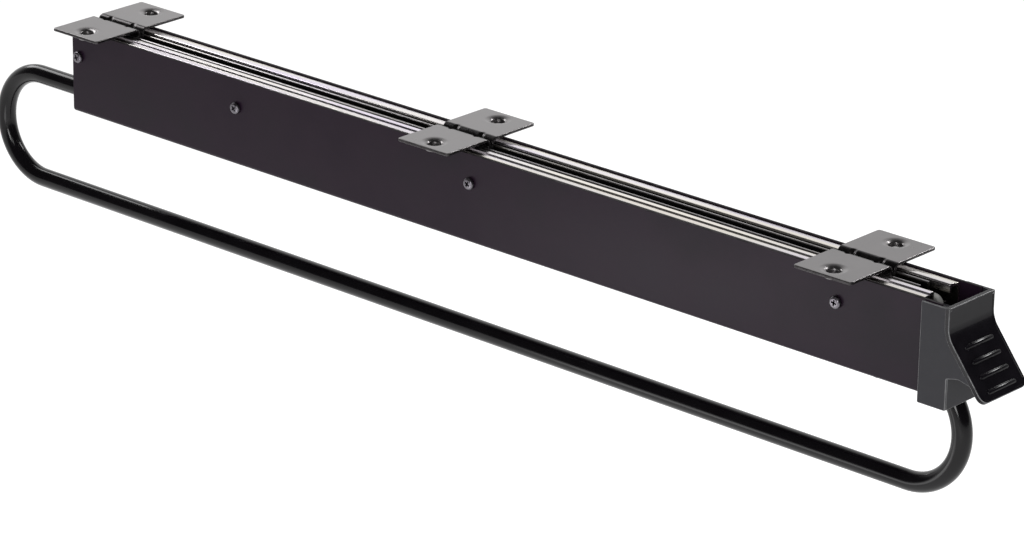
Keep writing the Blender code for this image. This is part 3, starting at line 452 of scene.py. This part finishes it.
RIVET_SECTION = (
    (0, 1.0), (0.9, 0.93), (1.8, 0.7), (2.45, 0.34), (2.7, 0.0), (1.5, 0.0), (1.5, -2.2), (0, -2.2)
)
RIVET_SEAT = 3.1
# Turned and rolled pieces are shaded smooth up to this angle
SMOOTH = 40


def center_of(node):
    """The middle of a node's box, in millimetres."""
    low, high = box_of(node)
    return (low + high) / 2


def turned(shape, section, sides=32):
    """A section of (radius, height) points spun about Z."""
    points = [shape.verts.new((radius, 0, height)) for radius, height in section]
    edges = [shape.edges.new(pair) for pair in zip(points, points[1:])]
    bmesh.ops.spin(
        shape,
        geom=points + edges,
        cent=(0, 0, 0),
        axis=(0, 0, 1),
        angle=math.pi * 2,
        steps=sides,
        use_merge=True,
        use_duplicate=False,
    )
    bmesh.ops.remove_doubles(shape, verts=shape.verts, dist=0.0005)


plain_steel, nodes, links, shader = surface("plain_steel")
cloud = grain(nodes, links, 260.0)
tinted(nodes, links, cloud, shader, (0.50, 0.50, 0.51), (0.60, 0.60, 0.59))
roughened(nodes, links, cloud, shader, 0.24, 0.36)
shader.inputs["Metallic"].default_value = 1.0

for place in PLACES:
    for hand, side in SIDES:
        for number in (1, 2):
            node = f"rivet_{place}_{hand}_{number}"
            center = center_of(node)
            shape = bmesh.new()
            turned(shape, RIVET_SECTION)
            seat = Matrix.Translation((center.x, side * RIVET_SEAT, center.z))
            lean = Matrix.Rotation(-side * math.pi / 2, 4, "X")
            bmesh.ops.transform(shape, matrix=seat @ lean, verts=shape.verts)
            finished(shape, f"round_{node}", plain_steel, "mounting", [node], limit=SMOOTH)

# Closing buffer: a light grey rubber disc on a steel pin between the front ends of the inner rails.
# A rib inside the handle comes to rest on it when the rail is pushed home.

BUFFER_SECTION = (
    (1.5, 1.6), (3.3, 1.6), (3.75, 1.45), (4.0, 1.0), (4.0, -1.0), (3.75, -1.45), (3.3, -1.6), (1.5, -1.6),
    (1.5, 1.6),
)
PIN_SECTION = ((0, 2.8), (0.9, 2.8), (1.2, 2.6), (1.2, -2.6), (0.9, -2.8), (0, -2.8))

grey_rubber, nodes, links, shader = surface("grey_rubber")
cloud = grain(nodes, links, 700.0)
tinted(nodes, links, cloud, shader, (0.17, 0.17, 0.165), (0.22, 0.22, 0.21))
roughened(nodes, links, cloud, shader, 0.55, 0.7)
raised(nodes, links, cloud, shader, 0.2, 0.00005)

axle = Matrix.Translation(center_of("closing_buffer")) @ Matrix.Rotation(math.pi / 2, 4, "X")
shape = bmesh.new()
turned(shape, BUFFER_SECTION, 48)
bmesh.ops.transform(shape, matrix=axle, verts=shape.verts)
finished(shape, "rubber_buffer", grey_rubber, "mounting", ["closing_buffer"], limit=SMOOTH)
shape = bmesh.new()
turned(shape, PIN_SECTION, 24)
bmesh.ops.transform(shape, matrix=axle, verts=shape.verts)
finished(shape, "steel_buffer_pin", plain_steel, "mounting", ["buffer_pin"], limit=SMOOTH)

# Ball cages: a thin steel strip folded into a channel on each side, with two rows of eight balls.
# They roll between the fixed and the moving rail, so each goes half as far as the rail.

CAGE_SHEET = 0.4
CAGE_FOLD = 0.7
CAGE_MOUTH, CAGE_BACK = 5.95, 9.7
BALL_RADIUS = 1.95
BALL_ROW = 10.4
BALL_LINE = 7.9
BALLS_IN_ROW = 8


def folded(shape, line, rear, front, radius, steps):
    """A strip of sheet along X, folded wherever a line of (y, z) points turns."""
    points = [shape.verts.new((rear, y, z)) for y, z in line]
    edges = [shape.edges.new(pair) for pair in zip(points, points[1:])]
    edges, verts = ring_of(bmesh.ops.extrude_edge_only(shape, edges=edges))
    bmesh.ops.translate(shape, vec=(front - rear, 0, 0), verts=verts)
    folds = [edge for edge in shape.edges if len(edge.link_faces) == 2]
    rounded(shape, folds, radius, steps)


for hand, side in SIDES:
    node = f"ball_cage_{hand}"
    low, high = box_of(node)
    mouth, back = side * CAGE_MOUTH, side * CAGE_BACK
    half = BALL_ROW + CAGE_SHEET / 2
    upper, lower = SLIDE_MIDDLE + half, SLIDE_MIDDLE - half
    shape = bmesh.new()
    line = [(mouth, upper), (back, upper), (back, lower), (mouth, lower)]
    folded(shape, line, low.x, high.x, CAGE_FOLD, 4)
    thickened(shape, CAGE_SHEET, (0, side, 0))
    pitch = (high.x - low.x) / BALLS_IN_ROW
    for number in range(BALLS_IN_ROW):
        for row in (-BALL_ROW, BALL_ROW):
            middle = (low.x + pitch * (number + 0.5), side * BALL_LINE, SLIDE_MIDDLE + row)
            bmesh.ops.create_icosphere(
                shape, subdivisions=3, radius=BALL_RADIUS, matrix=Matrix.Translation(middle)
            )
    finished(shape, f"rolling_{node}", plain_steel, f"cage_{hand}", [node], limit=SMOOTH)

# Outer rails: bright zinc-plated steel rolled into a channel with hooked lips that hold the balls.
# A lug at the rear end stops the cage. Screws through the black channel hold them.

OUTER_CORNERS = (
    (7.45, 13.5, 0.15), (7.75, 12.75, 0.1), (8.2, 12.98, 0.1), (10.3, 12.8, 0.25), (11.0, 11.9, 0.6),
    (11.0, -11.9, 0.6), (10.3, -12.8, 0.25), (8.2, -12.98, 0.1), (7.75, -12.75, 0.1), (7.45, -13.5, 0.15),
    (4.8, -13.5, 0.7), (4.8, -10.1, 0), (5.8, -10.1, 0), (5.8, -12.3, 0.3), (10.0, -11.9, 1.5),
    (10.0, 11.9, 1.5), (5.8, 12.3, 0.3), (5.8, 10.1, 0), (4.8, 10.1, 0), (4.8, 13.5, 0.7),
)
OUTER_LUG_INSIDE, OUTER_LUG_OUTSIDE = 8.0, 10.5
OUTER_EDGE = 0.06

bright_zinc, nodes, links, shader = surface("bright_zinc")
bands = grain(nodes, links, 9.0, 2.0, (1.0, 22.0, 22.0), 0.12)
lines = grain(nodes, links, 2600.0, 2.0, (0.01, 1.0, 1.0))
tints = ((0.63, 0.57, 0.68), (0.71, 0.68, 0.68), (0.72, 0.68, 0.61), (0.70, 0.62, 0.63))
tinted(nodes, links, bands, shader, *tints)
roughened(nodes, links, lines, shader, 0.18, 0.28)
raised(nodes, links, lines, shader, 0.08, 0.00003)
shader.inputs["Metallic"].default_value = 1.0

for hand, side in SIDES:
    node = f"outer_rail_{hand}"
    low, high = box_of(node)
    shape = bmesh.new()
    rolled_rail(shape, OUTER_CORNERS, side, low.x, high.x, 8)
    block(
        shape,
        (low.x + LUG_NEAR, side * OUTER_LUG_INSIDE, SLIDE_MIDDLE - LUG_HALF),
        (low.x + LUG_FAR, side * OUTER_LUG_OUTSIDE, SLIDE_MIDDLE + LUG_HALF),
    )
    finished(shape, f"hooked_{node}", bright_zinc, "carriage", [node], OUTER_EDGE)

# Channel: one sheet of steel folded into a U and lacquered a very dark purple-black. A slot at the
# front of its floor lets the rod come up into it. The lacquer is rubbed along the edges, and the tops
# of the walls take the same dull lacquer as painted shade.

CHANNEL_WALL = 12.5
CHANNEL_SHEET = 1.2
CHANNEL_FOLD = 1.8
CHANNEL_EDGE = 0.18
SLOT_HALF = 4.8
SLOT_MIDDLE = 223.8
SLOT_CUTS = (
    ((0, SLOT_HALF, 0), (0, 1, 0)), ((0, -SLOT_HALF, 0), (0, 1, 0)), ((SLOT_MIDDLE, 0, 0), (1, 0, 0))
)
CLOSE = 0.01

dark_lacquer, nodes, links, shader = surface("dark_lacquer")
cloud = grain(nodes, links, 26.0, 4.0)
fine = grain(nodes, links, 1900.0, 2.0)
tints = ((0.0088, 0.0038, 0.0098), (0.0122, 0.0060, 0.0124), (0.0104, 0.0068, 0.0112))
tinted(nodes, links, cloud, shader, *tints)
roughened(nodes, links, cloud, shader, 0.30, 0.38)
raised(nodes, links, fine, shader, 0.1, 0.00004)
shader.inputs["Specular IOR Level"].default_value = 0.12

# The rounded edges take this lacquer as wear. On the tops of the walls it is painted shade, standing for the
# dark gap beside the rails.
rubbed_and_shaded_lacquer, nodes, links, shader = surface("rubbed_and_shaded_lacquer")
cloud = grain(nodes, links, 180.0)
tinted(nodes, links, cloud, shader, (0.006, 0.005, 0.006), (0.040, 0.036, 0.039))
roughened(nodes, links, cloud, shader, 0.42, 0.56)
shader.inputs["Specular IOR Level"].default_value = 0.05

low, high = box_of("channel")
shape = bmesh.new()
line = [(-CHANNEL_WALL, high.z), (-CHANNEL_WALL, low.z), (CHANNEL_WALL, low.z), (CHANNEL_WALL, high.z)]
folded(shape, line, low.x, high.x, CHANNEL_FOLD, 6)
for plane_co, plane_no in SLOT_CUTS:
    base = [face for face in shape.faces if all(v.co.z < low.z + CLOSE for v in face.verts)]
    around = list({e for face in base for e in face.edges}) + list({v for face in base for v in face.verts})
    bmesh.ops.bisect_plane(shape, geom=base + around, plane_co=plane_co, plane_no=plane_no)
slot = [
    face for face in shape.faces
    if face.calc_center_median().x > SLOT_MIDDLE and abs(face.calc_center_median().y) < SLOT_HALF
]
bmesh.ops.delete(shape, geom=slot, context="FACES")
end = [
    edge for edge in shape.edges
    if edge.is_boundary
    and all(abs(v.co.x - SLOT_MIDDLE) < CLOSE and abs(v.co.y) < SLOT_HALF + CLOSE for v in edge.verts)
]
made = bmesh.ops.subdivide_edges(shape, edges=end, cuts=15)
for vert in (item for item in made["geom_inner"] if isinstance(item, bmesh.types.BMVert)):
    vert.co.x -= math.sqrt(SLOT_HALF ** 2 - vert.co.y ** 2)
thickened(shape, CHANNEL_SHEET, (0, 0, -1))
channel = finished(
    shape,
    "lacquered_channel",
    dark_lacquer,
    "carriage",
    ["channel"],
    CHANNEL_EDGE,
    edge_material=rubbed_and_shaded_lacquer,
)
# The top faces of the walls take the dull lacquer as painted shade.
for face in channel.data.polygons:
    if face.normal.z > 0.9 and face.center.z * MM_PER_METRE > high.z - 0.1:
        face.material_index = 1

# Hanging rod: an 8 mm steel bar bent half round at both ends and lacquered gloss black.
# Its two ends lie on the channel floor. Hangers go on the long lower leg.

ROD_RADIUS = 4.0
ROD_EDGE = 0.3
ROD_UPPER = -35.1
ROD_MIDDLE = -58.75
ROD_REAR_BEND, ROD_FRONT_BEND = -247.4, 223.0
ROD_REAR_END, ROD_FRONT_END = -150.5, 165.0

gloss_black, nodes, links, shader = surface("gloss_black")
cloud = grain(nodes, links, 60.0)
peel = grain(nodes, links, 420.0, 1.0)
tinted(nodes, links, cloud, shader, (0.0018, 0.0014, 0.0020), (0.0030, 0.0025, 0.0033))
roughened(nodes, links, cloud, shader, 0.13, 0.20)
raised(nodes, links, peel, shader, 0.06, 0.00008)
shader.inputs["Specular IOR Level"].default_value = 0.26

shape = bmesh.new()
upright = Matrix.Rotation(math.pi / 2, 4, "Y")
start = bmesh.ops.create_circle(
    shape,
    cap_ends=True,
    segments=48,
    radius=ROD_RADIUS,
    matrix=Matrix.Translation((ROD_REAR_END, 0, ROD_UPPER)) @ upright,
)["verts"]
ring = [edge for edge in shape.edges if all(v in start for v in edge.verts)]
ring, verts = ring_of(bmesh.ops.extrude_edge_only(shape, edges=ring))
bmesh.ops.translate(shape, vec=(ROD_REAR_BEND - ROD_REAR_END, 0, 0), verts=verts)
for bend, leg_end in ((ROD_REAR_BEND, ROD_FRONT_BEND), (ROD_FRONT_BEND, ROD_FRONT_END)):
    spun = bmesh.ops.spin(
        shape,
        geom=ring + verts,
        cent=(bend, 0, ROD_MIDDLE),
        axis=(0, 1, 0),
        angle=-math.pi,
        steps=40,
        use_duplicate=False,
    )
    ring = [item for item in spun["geom_last"] if isinstance(item, bmesh.types.BMEdge)]
    ring, verts = ring_of(bmesh.ops.extrude_edge_only(shape, edges=ring))
    bmesh.ops.translate(shape, vec=(leg_end - bend, 0, 0), verts=verts)
bmesh.ops.contextual_create(shape, geom=ring)
finished(shape, "bent_hanging_rod", gloss_black, "carriage", ["hanging_rod"], ROD_EDGE)

# Screws: black-plated pan heads with a cross recess. Eight hold the rails in the channel walls,
# four hold the rod from below and two small ones hold the feet of the handle.

# Head radius, head height, shank radius and shank length
SIDE_SCREW = (2.5, 1.5, 1.5, 2.8)
ROD_SCREW = (3.2, 1.6, 2.0, 5.8)
HANDLE_SCREW = (2.2, 1.0, 1.25, 6.0)
SIDE_SEAT = 12.8
FLOOR_SEAT = -40.9
SCREW_TURN = 0.35
# Shares of the head's radius and height
RECESS_ARM, RECESS_WIDTH = 0.5, 0.15
RECESS_DEPTH, RECESS_TAPER = 0.75, 0.75
CROWN = 0.62
HEAD_STEPS = ((0.8, 0.93), (0.92, 0.74), (0.985, 0.48), (1.0, 0.2), (0.98, 0.0))


def pan_screw(shape, radius, height, shank, length):
    """A pan-head screw about Z: head above zero with a cross recess, shank below."""
    arm, width = radius * RECESS_ARM, radius * RECESS_WIDTH
    cross = [
        (arm, -width), (arm, width), (width, width), (width, arm), (-width, arm), (-width, width),
        (-arm, width), (-arm, -width), (-width, -width), (-width, -arm), (width, -arm), (width, -width),
    ]
    points = [shape.verts.new((x, y, height)) for x, y in cross]
    mouth = [shape.edges.new((points[n - 1], points[n])) for n in range(len(points))]
    sink, low = ring_of(bmesh.ops.extrude_edge_only(shape, edges=mouth))
    bmesh.ops.translate(shape, vec=(0, 0, -height * RECESS_DEPTH), verts=low)
    bmesh.ops.scale(shape, vec=(RECESS_TAPER, RECESS_TAPER, 1), verts=low)
    bmesh.ops.contextual_create(shape, geom=sink)
    last = radius * CROWN
    crown = bmesh.ops.create_circle(
        shape, cap_ends=False, segments=36, radius=last, matrix=Matrix.Translation((0, 0, height))
    )["verts"]
    ring = [edge for edge in shape.edges if all(v in crown for v in edge.verts)]
    bmesh.ops.bridge_loops(shape, edges=mouth + ring)
    for share, level in (*HEAD_STEPS, (shank / radius, 0.0)):
        ring, verts = ring_of(bmesh.ops.extrude_edge_only(shape, edges=ring))
        bmesh.ops.scale(shape, vec=(radius * share / last, radius * share / last, 1), verts=verts)
        bmesh.ops.translate(shape, vec=(0, 0, height * level - verts[0].co.z), verts=verts)
        last = radius * share
    ring, verts = ring_of(bmesh.ops.extrude_edge_only(shape, edges=ring))
    bmesh.ops.translate(shape, vec=(0, 0, -length), verts=verts)
    bmesh.ops.contextual_create(shape, geom=ring)


black_screw, nodes, links, shader = surface("black_screw")
cloud = grain(nodes, links, 500.0)
tinted(nodes, links, cloud, shader, (0.13, 0.12, 0.137), (0.19, 0.18, 0.196))
roughened(nodes, links, cloud, shader, 0.24, 0.36)
shader.inputs["Metallic"].default_value = 1.0

for hand, side in SIDES:
    for number in (1, 2, 3, 4):
        node = f"side_screw_{hand}_{number}"
        center = center_of(node)
        shape = bmesh.new()
        pan_screw(shape, *SIDE_SCREW)
        seat = Matrix.Translation((center.x, side * SIDE_SEAT, center.z))
        lean = Matrix.Rotation(-side * math.pi / 2, 4, "X") @ Matrix.Rotation(SCREW_TURN * number, 4, "Z")
        bmesh.ops.transform(shape, matrix=seat @ lean, verts=shape.verts)
        finished(shape, f"pan_{node}", black_screw, "carriage", [node], limit=SMOOTH)

for node, size in (
    ("rod_screw_rear_1", ROD_SCREW),
    ("rod_screw_rear_2", ROD_SCREW),
    ("rod_screw_front_1", ROD_SCREW),
    ("rod_screw_front_2", ROD_SCREW),
    ("handle_screw_left", HANDLE_SCREW),
    ("handle_screw_right", HANDLE_SCREW),
):
    center = center_of(node)
    shape = bmesh.new()
    pan_screw(shape, *size)
    seat = Matrix.Translation((center.x, center.y, FLOOR_SEAT))
    bmesh.ops.transform(shape, matrix=seat @ Matrix.Rotation(math.pi, 4, "X"), verts=shape.verts)
    finished(shape, f"pan_{node}", black_screw, "carriage", [node], limit=SMOOTH)

# End handle: a black moulding that caps the channel's end. The box has satin walls, a floor with a
# mouth for the rod, two feet that are screwed to the channel floor and a rib that meets the buffer.

BOX_REAR, BOX_FRONT = 235.3, 248.0
BOX_TOP, BOX_BASE = -3.8, -43.6
BOX_HALF = 13.8
BOX_WALL = 0.98
# The side walls stand just inside the finger plate's edges, so that no two faces lie in one plane
WALL_INSET = 0.02
SIDE_OUTLINE = (
    (BOX_REAR, BOX_BASE, 0.6), (BOX_REAR, BOX_TOP, 0.6), (247.0, BOX_TOP, 0), (247.0, -15.0, 8.0),
    (259.2, -30.4, 0), (258.4, -31.0, 0.4), (253.2, -29.7, 4.0), (BOX_FRONT, -31.0, 0.6),
    (BOX_FRONT, BOX_BASE, 0.6),
)
FLOOR_OUTLINE = (
    (BOX_REAR, 12.9, 0), (247.6, 12.9, 0), (247.6, -12.9, 0), (BOX_REAR, -12.9, 0),
    (BOX_REAR, -4.8, 0.5), (246.5, -4.8, 4.78), (246.5, 4.8, 4.78), (BOX_REAR, 4.8, 0.5),
)
FLOOR_THICK = 2.7
FRONT_WALL = ((246.0, -13.0, BOX_BASE), (247.97, 13.0, -13.0))
BUFFER_RIB = ((234.8, -1.2, -19.3), (246.5, 1.2, -9.3))
FOOT_REAR, FOOT_FRONT = 205.0, 247.0
FOOT_INSIDE, FOOT_OUTSIDE = 4.6, 11.0
FOOT_BASE, FOOT_TOP = -39.1, -33.1
MOULDED_EDGE = 0.3
MOULDED_LIMIT = 60
# Outline axes u and v laid along X and Z, so that the outline faces sideways
SIDEWAYS = Matrix(((1, 0, 0), (0, 0, -1), (0, 1, 0))).to_4x4()

satin_moulding, nodes, links, shader = surface("satin_moulding")
cloud = grain(nodes, links, 120.0)
spark = grain(nodes, links, 3200.0, 2.0)
tinted(nodes, links, cloud, shader, (0.0216, 0.0212, 0.0248), (0.0283, 0.0278, 0.0316))
roughened(nodes, links, cloud, shader, 0.36, 0.46)
raised(nodes, links, spark, shader, 0.18, 0.00005)
shader.inputs["Specular IOR Level"].default_value = 0.13

# Painted highlight: the rounded edges of the moulding take a lighter colour that stands for the light they
# catch.
painted_edge_highlight, nodes, links, shader = surface("painted_edge_highlight")
cloud = grain(nodes, links, 220.0)
tinted(nodes, links, cloud, shader, (0.030, 0.030, 0.033), (0.17, 0.17, 0.175))
roughened(nodes, links, cloud, shader, 0.28, 0.40)

shape = bmesh.new()
for side in (-1, 1):
    place = Matrix.Translation((0, side * (BOX_HALF - WALL_INSET), 0)) @ SIDEWAYS
    drawn(shape, SIDE_OUTLINE, place, (0, -side * BOX_WALL, 0), 6)
block(shape, *FRONT_WALL)
drawn(shape, FLOOR_OUTLINE, Matrix.Translation((0, 0, BOX_BASE)), (0, 0, FLOOR_THICK), 8)
for side in (-1, 1):
    block(shape, (FOOT_REAR, side * FOOT_INSIDE, FOOT_BASE), (FOOT_FRONT, side * FOOT_OUTSIDE, FOOT_TOP))
block(shape, *BUFFER_RIB)
finished(
    shape,
    "handle_box",
    satin_moulding,
    "carriage",
    ["end_handle"],
    MOULDED_EDGE,
    MOULDED_LIMIT,
    painted_edge_highlight,
)

# Finger plate: the front of the same moulding, polished, with a narrow raised border. It turns
# outwards below the rim and carries four raised grip ribs across its free end.

FLARE = math.radians(38.0)
FLARE_TURN = Vector((BOX_FRONT, 0, -14.5))
FLARE_LENGTH = 27.6
FLARE_OUTER, FLARE_INNER = 9.0, 11.0
PLATE_THICK = 2.0
PLATE_ROUND = 3.5
BORDER_WIDTH, BORDER_STEP = 0.95, 0.2
GRIP_RIBS = (6.2, 12.2, 18.2, 24.2)
GRIP_HALF = 8.6
GRIP_RADIUS = 1.0
GRIP_SINK = 0.35

down = Vector((math.sin(FLARE), 0, -math.cos(FLARE)))
outwards = Vector((math.cos(FLARE), 0, math.sin(FLARE)))
lip = FLARE_TURN + down * FLARE_LENGTH
lip_back = lip - outwards * PLATE_THICK
turn_back = FLARE_TURN + Vector((-PLATE_THICK, 0, -PLATE_THICK * math.tan(FLARE / 2)))
profile = (
    (BOX_FRONT, BOX_TOP, 0), (FLARE_TURN.x, FLARE_TURN.z, FLARE_OUTER), (lip.x, lip.z, 0),
    (lip_back.x, lip_back.z, 0), (turn_back.x, turn_back.z, FLARE_INNER),
    (BOX_FRONT - PLATE_THICK, BOX_TOP, 0),
)

polished_moulding, nodes, links, shader = surface("polished_moulding")
cloud = grain(nodes, links, 150.0)
peel = grain(nodes, links, 500.0, 1.0)
tinted(nodes, links, cloud, shader, (0.0035, 0.0030, 0.0042), (0.0058, 0.0050, 0.0068))
roughened(nodes, links, cloud, shader, 0.11, 0.16)
raised(nodes, links, peel, shader, 0.05, 0.00008)
shader.inputs["Specular IOR Level"].default_value = 0.13

shape = bmesh.new()
drawn(shape, profile, Matrix.Translation((0, BOX_HALF, 0)) @ SIDEWAYS, (0, -BOX_HALF * 2, 0), 8)
corners = [
    edge for edge in shape.edges
    if all((v.co - lip).dot(down) > -CLOSE for v in edge.verts)
    and abs(edge.verts[0].co.y - edge.verts[1].co.y) < CLOSE
]
rounded(shape, corners, PLATE_ROUND, 8)
bmesh.ops.recalc_face_normals(shape, faces=shape.faces)
shape.normal_update()
face = [f for f in shape.faces if f.normal.x > 0.6 and abs(f.normal.y) < 0.1 and f.normal.z > -0.05]
for thickness, depth in ((BORDER_WIDTH, 0.0), (BORDER_STEP, -BORDER_STEP)):
    bmesh.ops.inset_region(
        shape, faces=face, thickness=thickness, depth=depth, use_even_offset=True, use_boundary=True
    )
sideways = Matrix((Vector((0, 1, 0)), down, Vector((0, 1, 0)).cross(down))).transposed().to_4x4()
for along in GRIP_RIBS:
    rib = bmesh.ops.create_uvsphere(shape, u_segments=20, v_segments=15, radius=GRIP_RADIUS)["verts"]
    bmesh.ops.rotate(shape, cent=(0, 0, 0), matrix=Matrix.Rotation(math.pi / 2, 3, "Y"), verts=rib)
    for side in (-1, 1):
        end = [v for v in rib if v.co.x * side > 0.001]
        bmesh.ops.translate(shape, vec=(side * (GRIP_HALF - GRIP_RADIUS), 0, 0), verts=end)
    place = FLARE_TURN + down * along - outwards * GRIP_SINK
    bmesh.ops.transform(shape, matrix=Matrix.Translation(place) @ sideways, verts=rib)
finished(
    shape,
    "finger_plate",
    polished_moulding,
    "carriage",
    (),
    MOULDED_EDGE,
    MOULDED_LIMIT,
    painted_edge_highlight,
)

# Studio: a white floor well below the rail, which hangs from a shelf in use, a white backdrop, soft
# boxes behind the rail and on the camera's side, and the long lens that looks along it from the handle.

FLOOR_HALF = 6.0
FLOOR_LEVEL = -0.35
FLOOR_GLOW = 0.34
BACKDROP = (-0.55, 0.65, -0.52)
BACKDROP_START, BACKDROP_FULL = 0.05, 0.45
ROOM_LOW, ROOM_FILL = 0.05, 0.75

floor_mesh = bpy.data.meshes.new("floor")
shape = bmesh.new()
bmesh.ops.create_grid(shape, x_segments=1, y_segments=1, size=FLOOR_HALF)
bmesh.ops.translate(shape, vec=(0, 0, FLOOR_LEVEL), verts=shape.verts)
shape.to_mesh(floor_mesh)
shape.free()
floor = bpy.data.objects.new("floor", floor_mesh)
bpy.context.scene.collection.objects.link(floor)
pale, nodes, links, shader = surface("pale_floor")
shader.inputs["Base Color"].default_value = (0.86, 0.86, 0.86, 1.0)
shader.inputs["Roughness"].default_value = 0.9
shader.inputs["Emission Color"].default_value = (1.0, 1.0, 1.0, 1.0)


def seen(nodes, links):
    """One for a ray that shows the backdrop, straight or in a mirror, and nought for other light."""
    ray = nodes.new("ShaderNodeLightPath")
    total = ray.outputs["Is Camera Ray"]
    for kind in ("Is Glossy Ray", "Is Transmission Ray"):
        either = nodes.new("ShaderNodeMath")
        either.operation = "MAXIMUM"
        links.new(total, either.inputs[0])
        links.new(ray.outputs[kind], either.inputs[1])
        total = either.outputs["Value"]
    return ray, total


lift = nodes.new("ShaderNodeMath")
lift.operation = "MULTIPLY"
lift.inputs[1].default_value = FLOOR_GLOW
links.new(seen(nodes, links)[1], lift.inputs[0])
links.new(lift.outputs["Value"], shader.inputs["Emission Strength"])
floor_mesh.materials.append(pale)

# The backdrop is white behind the rail. Metal mirrors it, with a dimmer room round the camera.
world = bpy.data.worlds.new("studio")
bpy.context.scene.world = world
world.use_nodes = True
nodes, links = world.node_tree.nodes, world.node_tree.links
room = nodes["Background"]
room.inputs["Color"].default_value = (1.0, 1.0, 1.0, 1.0)
ray, total = seen(nodes, links)
where = nodes.new("ShaderNodeTexCoord")
behind = nodes.new("ShaderNodeVectorMath")
behind.operation = "DOT_PRODUCT"
behind.inputs[1].default_value = BACKDROP
links.new(where.outputs["Generated"], behind.inputs[0])
fade = nodes.new("ShaderNodeMapRange")
fade.interpolation_type = "SMOOTHSTEP"
fade.inputs["From Min"].default_value = BACKDROP_START
fade.inputs["From Max"].default_value = BACKDROP_FULL
fade.inputs["To Min"].default_value = ROOM_LOW
fade.inputs["To Max"].default_value = 1.0
links.new(behind.outputs["Value"], fade.inputs["Value"])
straight = nodes.new("ShaderNodeMath")
straight.operation = "MAXIMUM"
links.new(fade.outputs["Result"], straight.inputs[0])
links.new(ray.outputs["Is Camera Ray"], straight.inputs[1])
level = nodes.new("ShaderNodeMix")
level.inputs["A"].default_value = ROOM_FILL
links.new(total, level.inputs["Factor"])
links.new(straight.outputs["Value"], level.inputs["B"])
links.new(level.outputs["Result"], room.inputs["Strength"])


def soft_box(name, place, aim, width, height, power):
    """A rectangular lamp at a place, turned to an aim."""
    lamp = bpy.data.lights.new(name, "AREA")
    lamp.shape = "RECTANGLE"
    lamp.size, lamp.size_y, lamp.energy = width, height, power
    box = bpy.data.objects.new(name, lamp)
    box.location = place
    box.rotation_euler = (Vector(aim) - Vector(place)).to_track_quat("-Z", "Y").to_euler()
    bpy.context.scene.collection.objects.link(box)


soft_box("back_box", (-0.62, 0.65, 0.32), (0, 0, 0), 0.4, 0.36, 0.1)
soft_box("rear_strip", (0.30, 0.91, 0.73), (0.26, 0, -0.03), 0.5, 0.1, 4.0)
soft_box("camera_box", (1.15, -1.3, 0.95), (0.2, 0, 0), 0.4, 0.4, 2.5)
soft_box("low_box", (-0.1, -0.38, -0.21), (0.18, 0, -0.02), 0.26, 0.12, 0.24)
soft_box("side_box", (0.78, -1.44, 0.27), (0.25, 0, -0.05), 0.4, 0.55, 8.0)
soft_box("bend_box", (-0.56, 0.06, 0.28), (-0.25, 0, -0.04), 0.16, 0.36, 1.1)

CAMERA_AIM = Vector((0.0252, 0, -0.0527))
CAMERA_DISTANCE = 1.792
camera = bpy.data.objects.new("camera", bpy.data.cameras.new("camera"))
bpy.context.scene.collection.objects.link(camera)
azimuth, elevation, roll = math.radians(41.63), math.radians(21.06), math.radians(-0.92)
back = Vector((
    math.sin(azimuth) * math.cos(elevation), -math.cos(azimuth) * math.cos(elevation), math.sin(elevation)
))
right = (-back).cross(Vector((0, 0, 1))).normalized()
below = (-back).cross(right).normalized()
across = math.cos(roll) * right + math.sin(roll) * below
under = -math.sin(roll) * right + math.cos(roll) * below
stand = CAMERA_AIM + back * CAMERA_DISTANCE
camera.matrix_world = Matrix.Translation(stand) @ Matrix((across, -under, back)).transposed().to_4x4()
camera.data.sensor_width = 36.0
camera.data.lens = 159.29
bpy.context.scene.camera = camera
bpy.context.scene.view_settings.view_transform = "Standard"
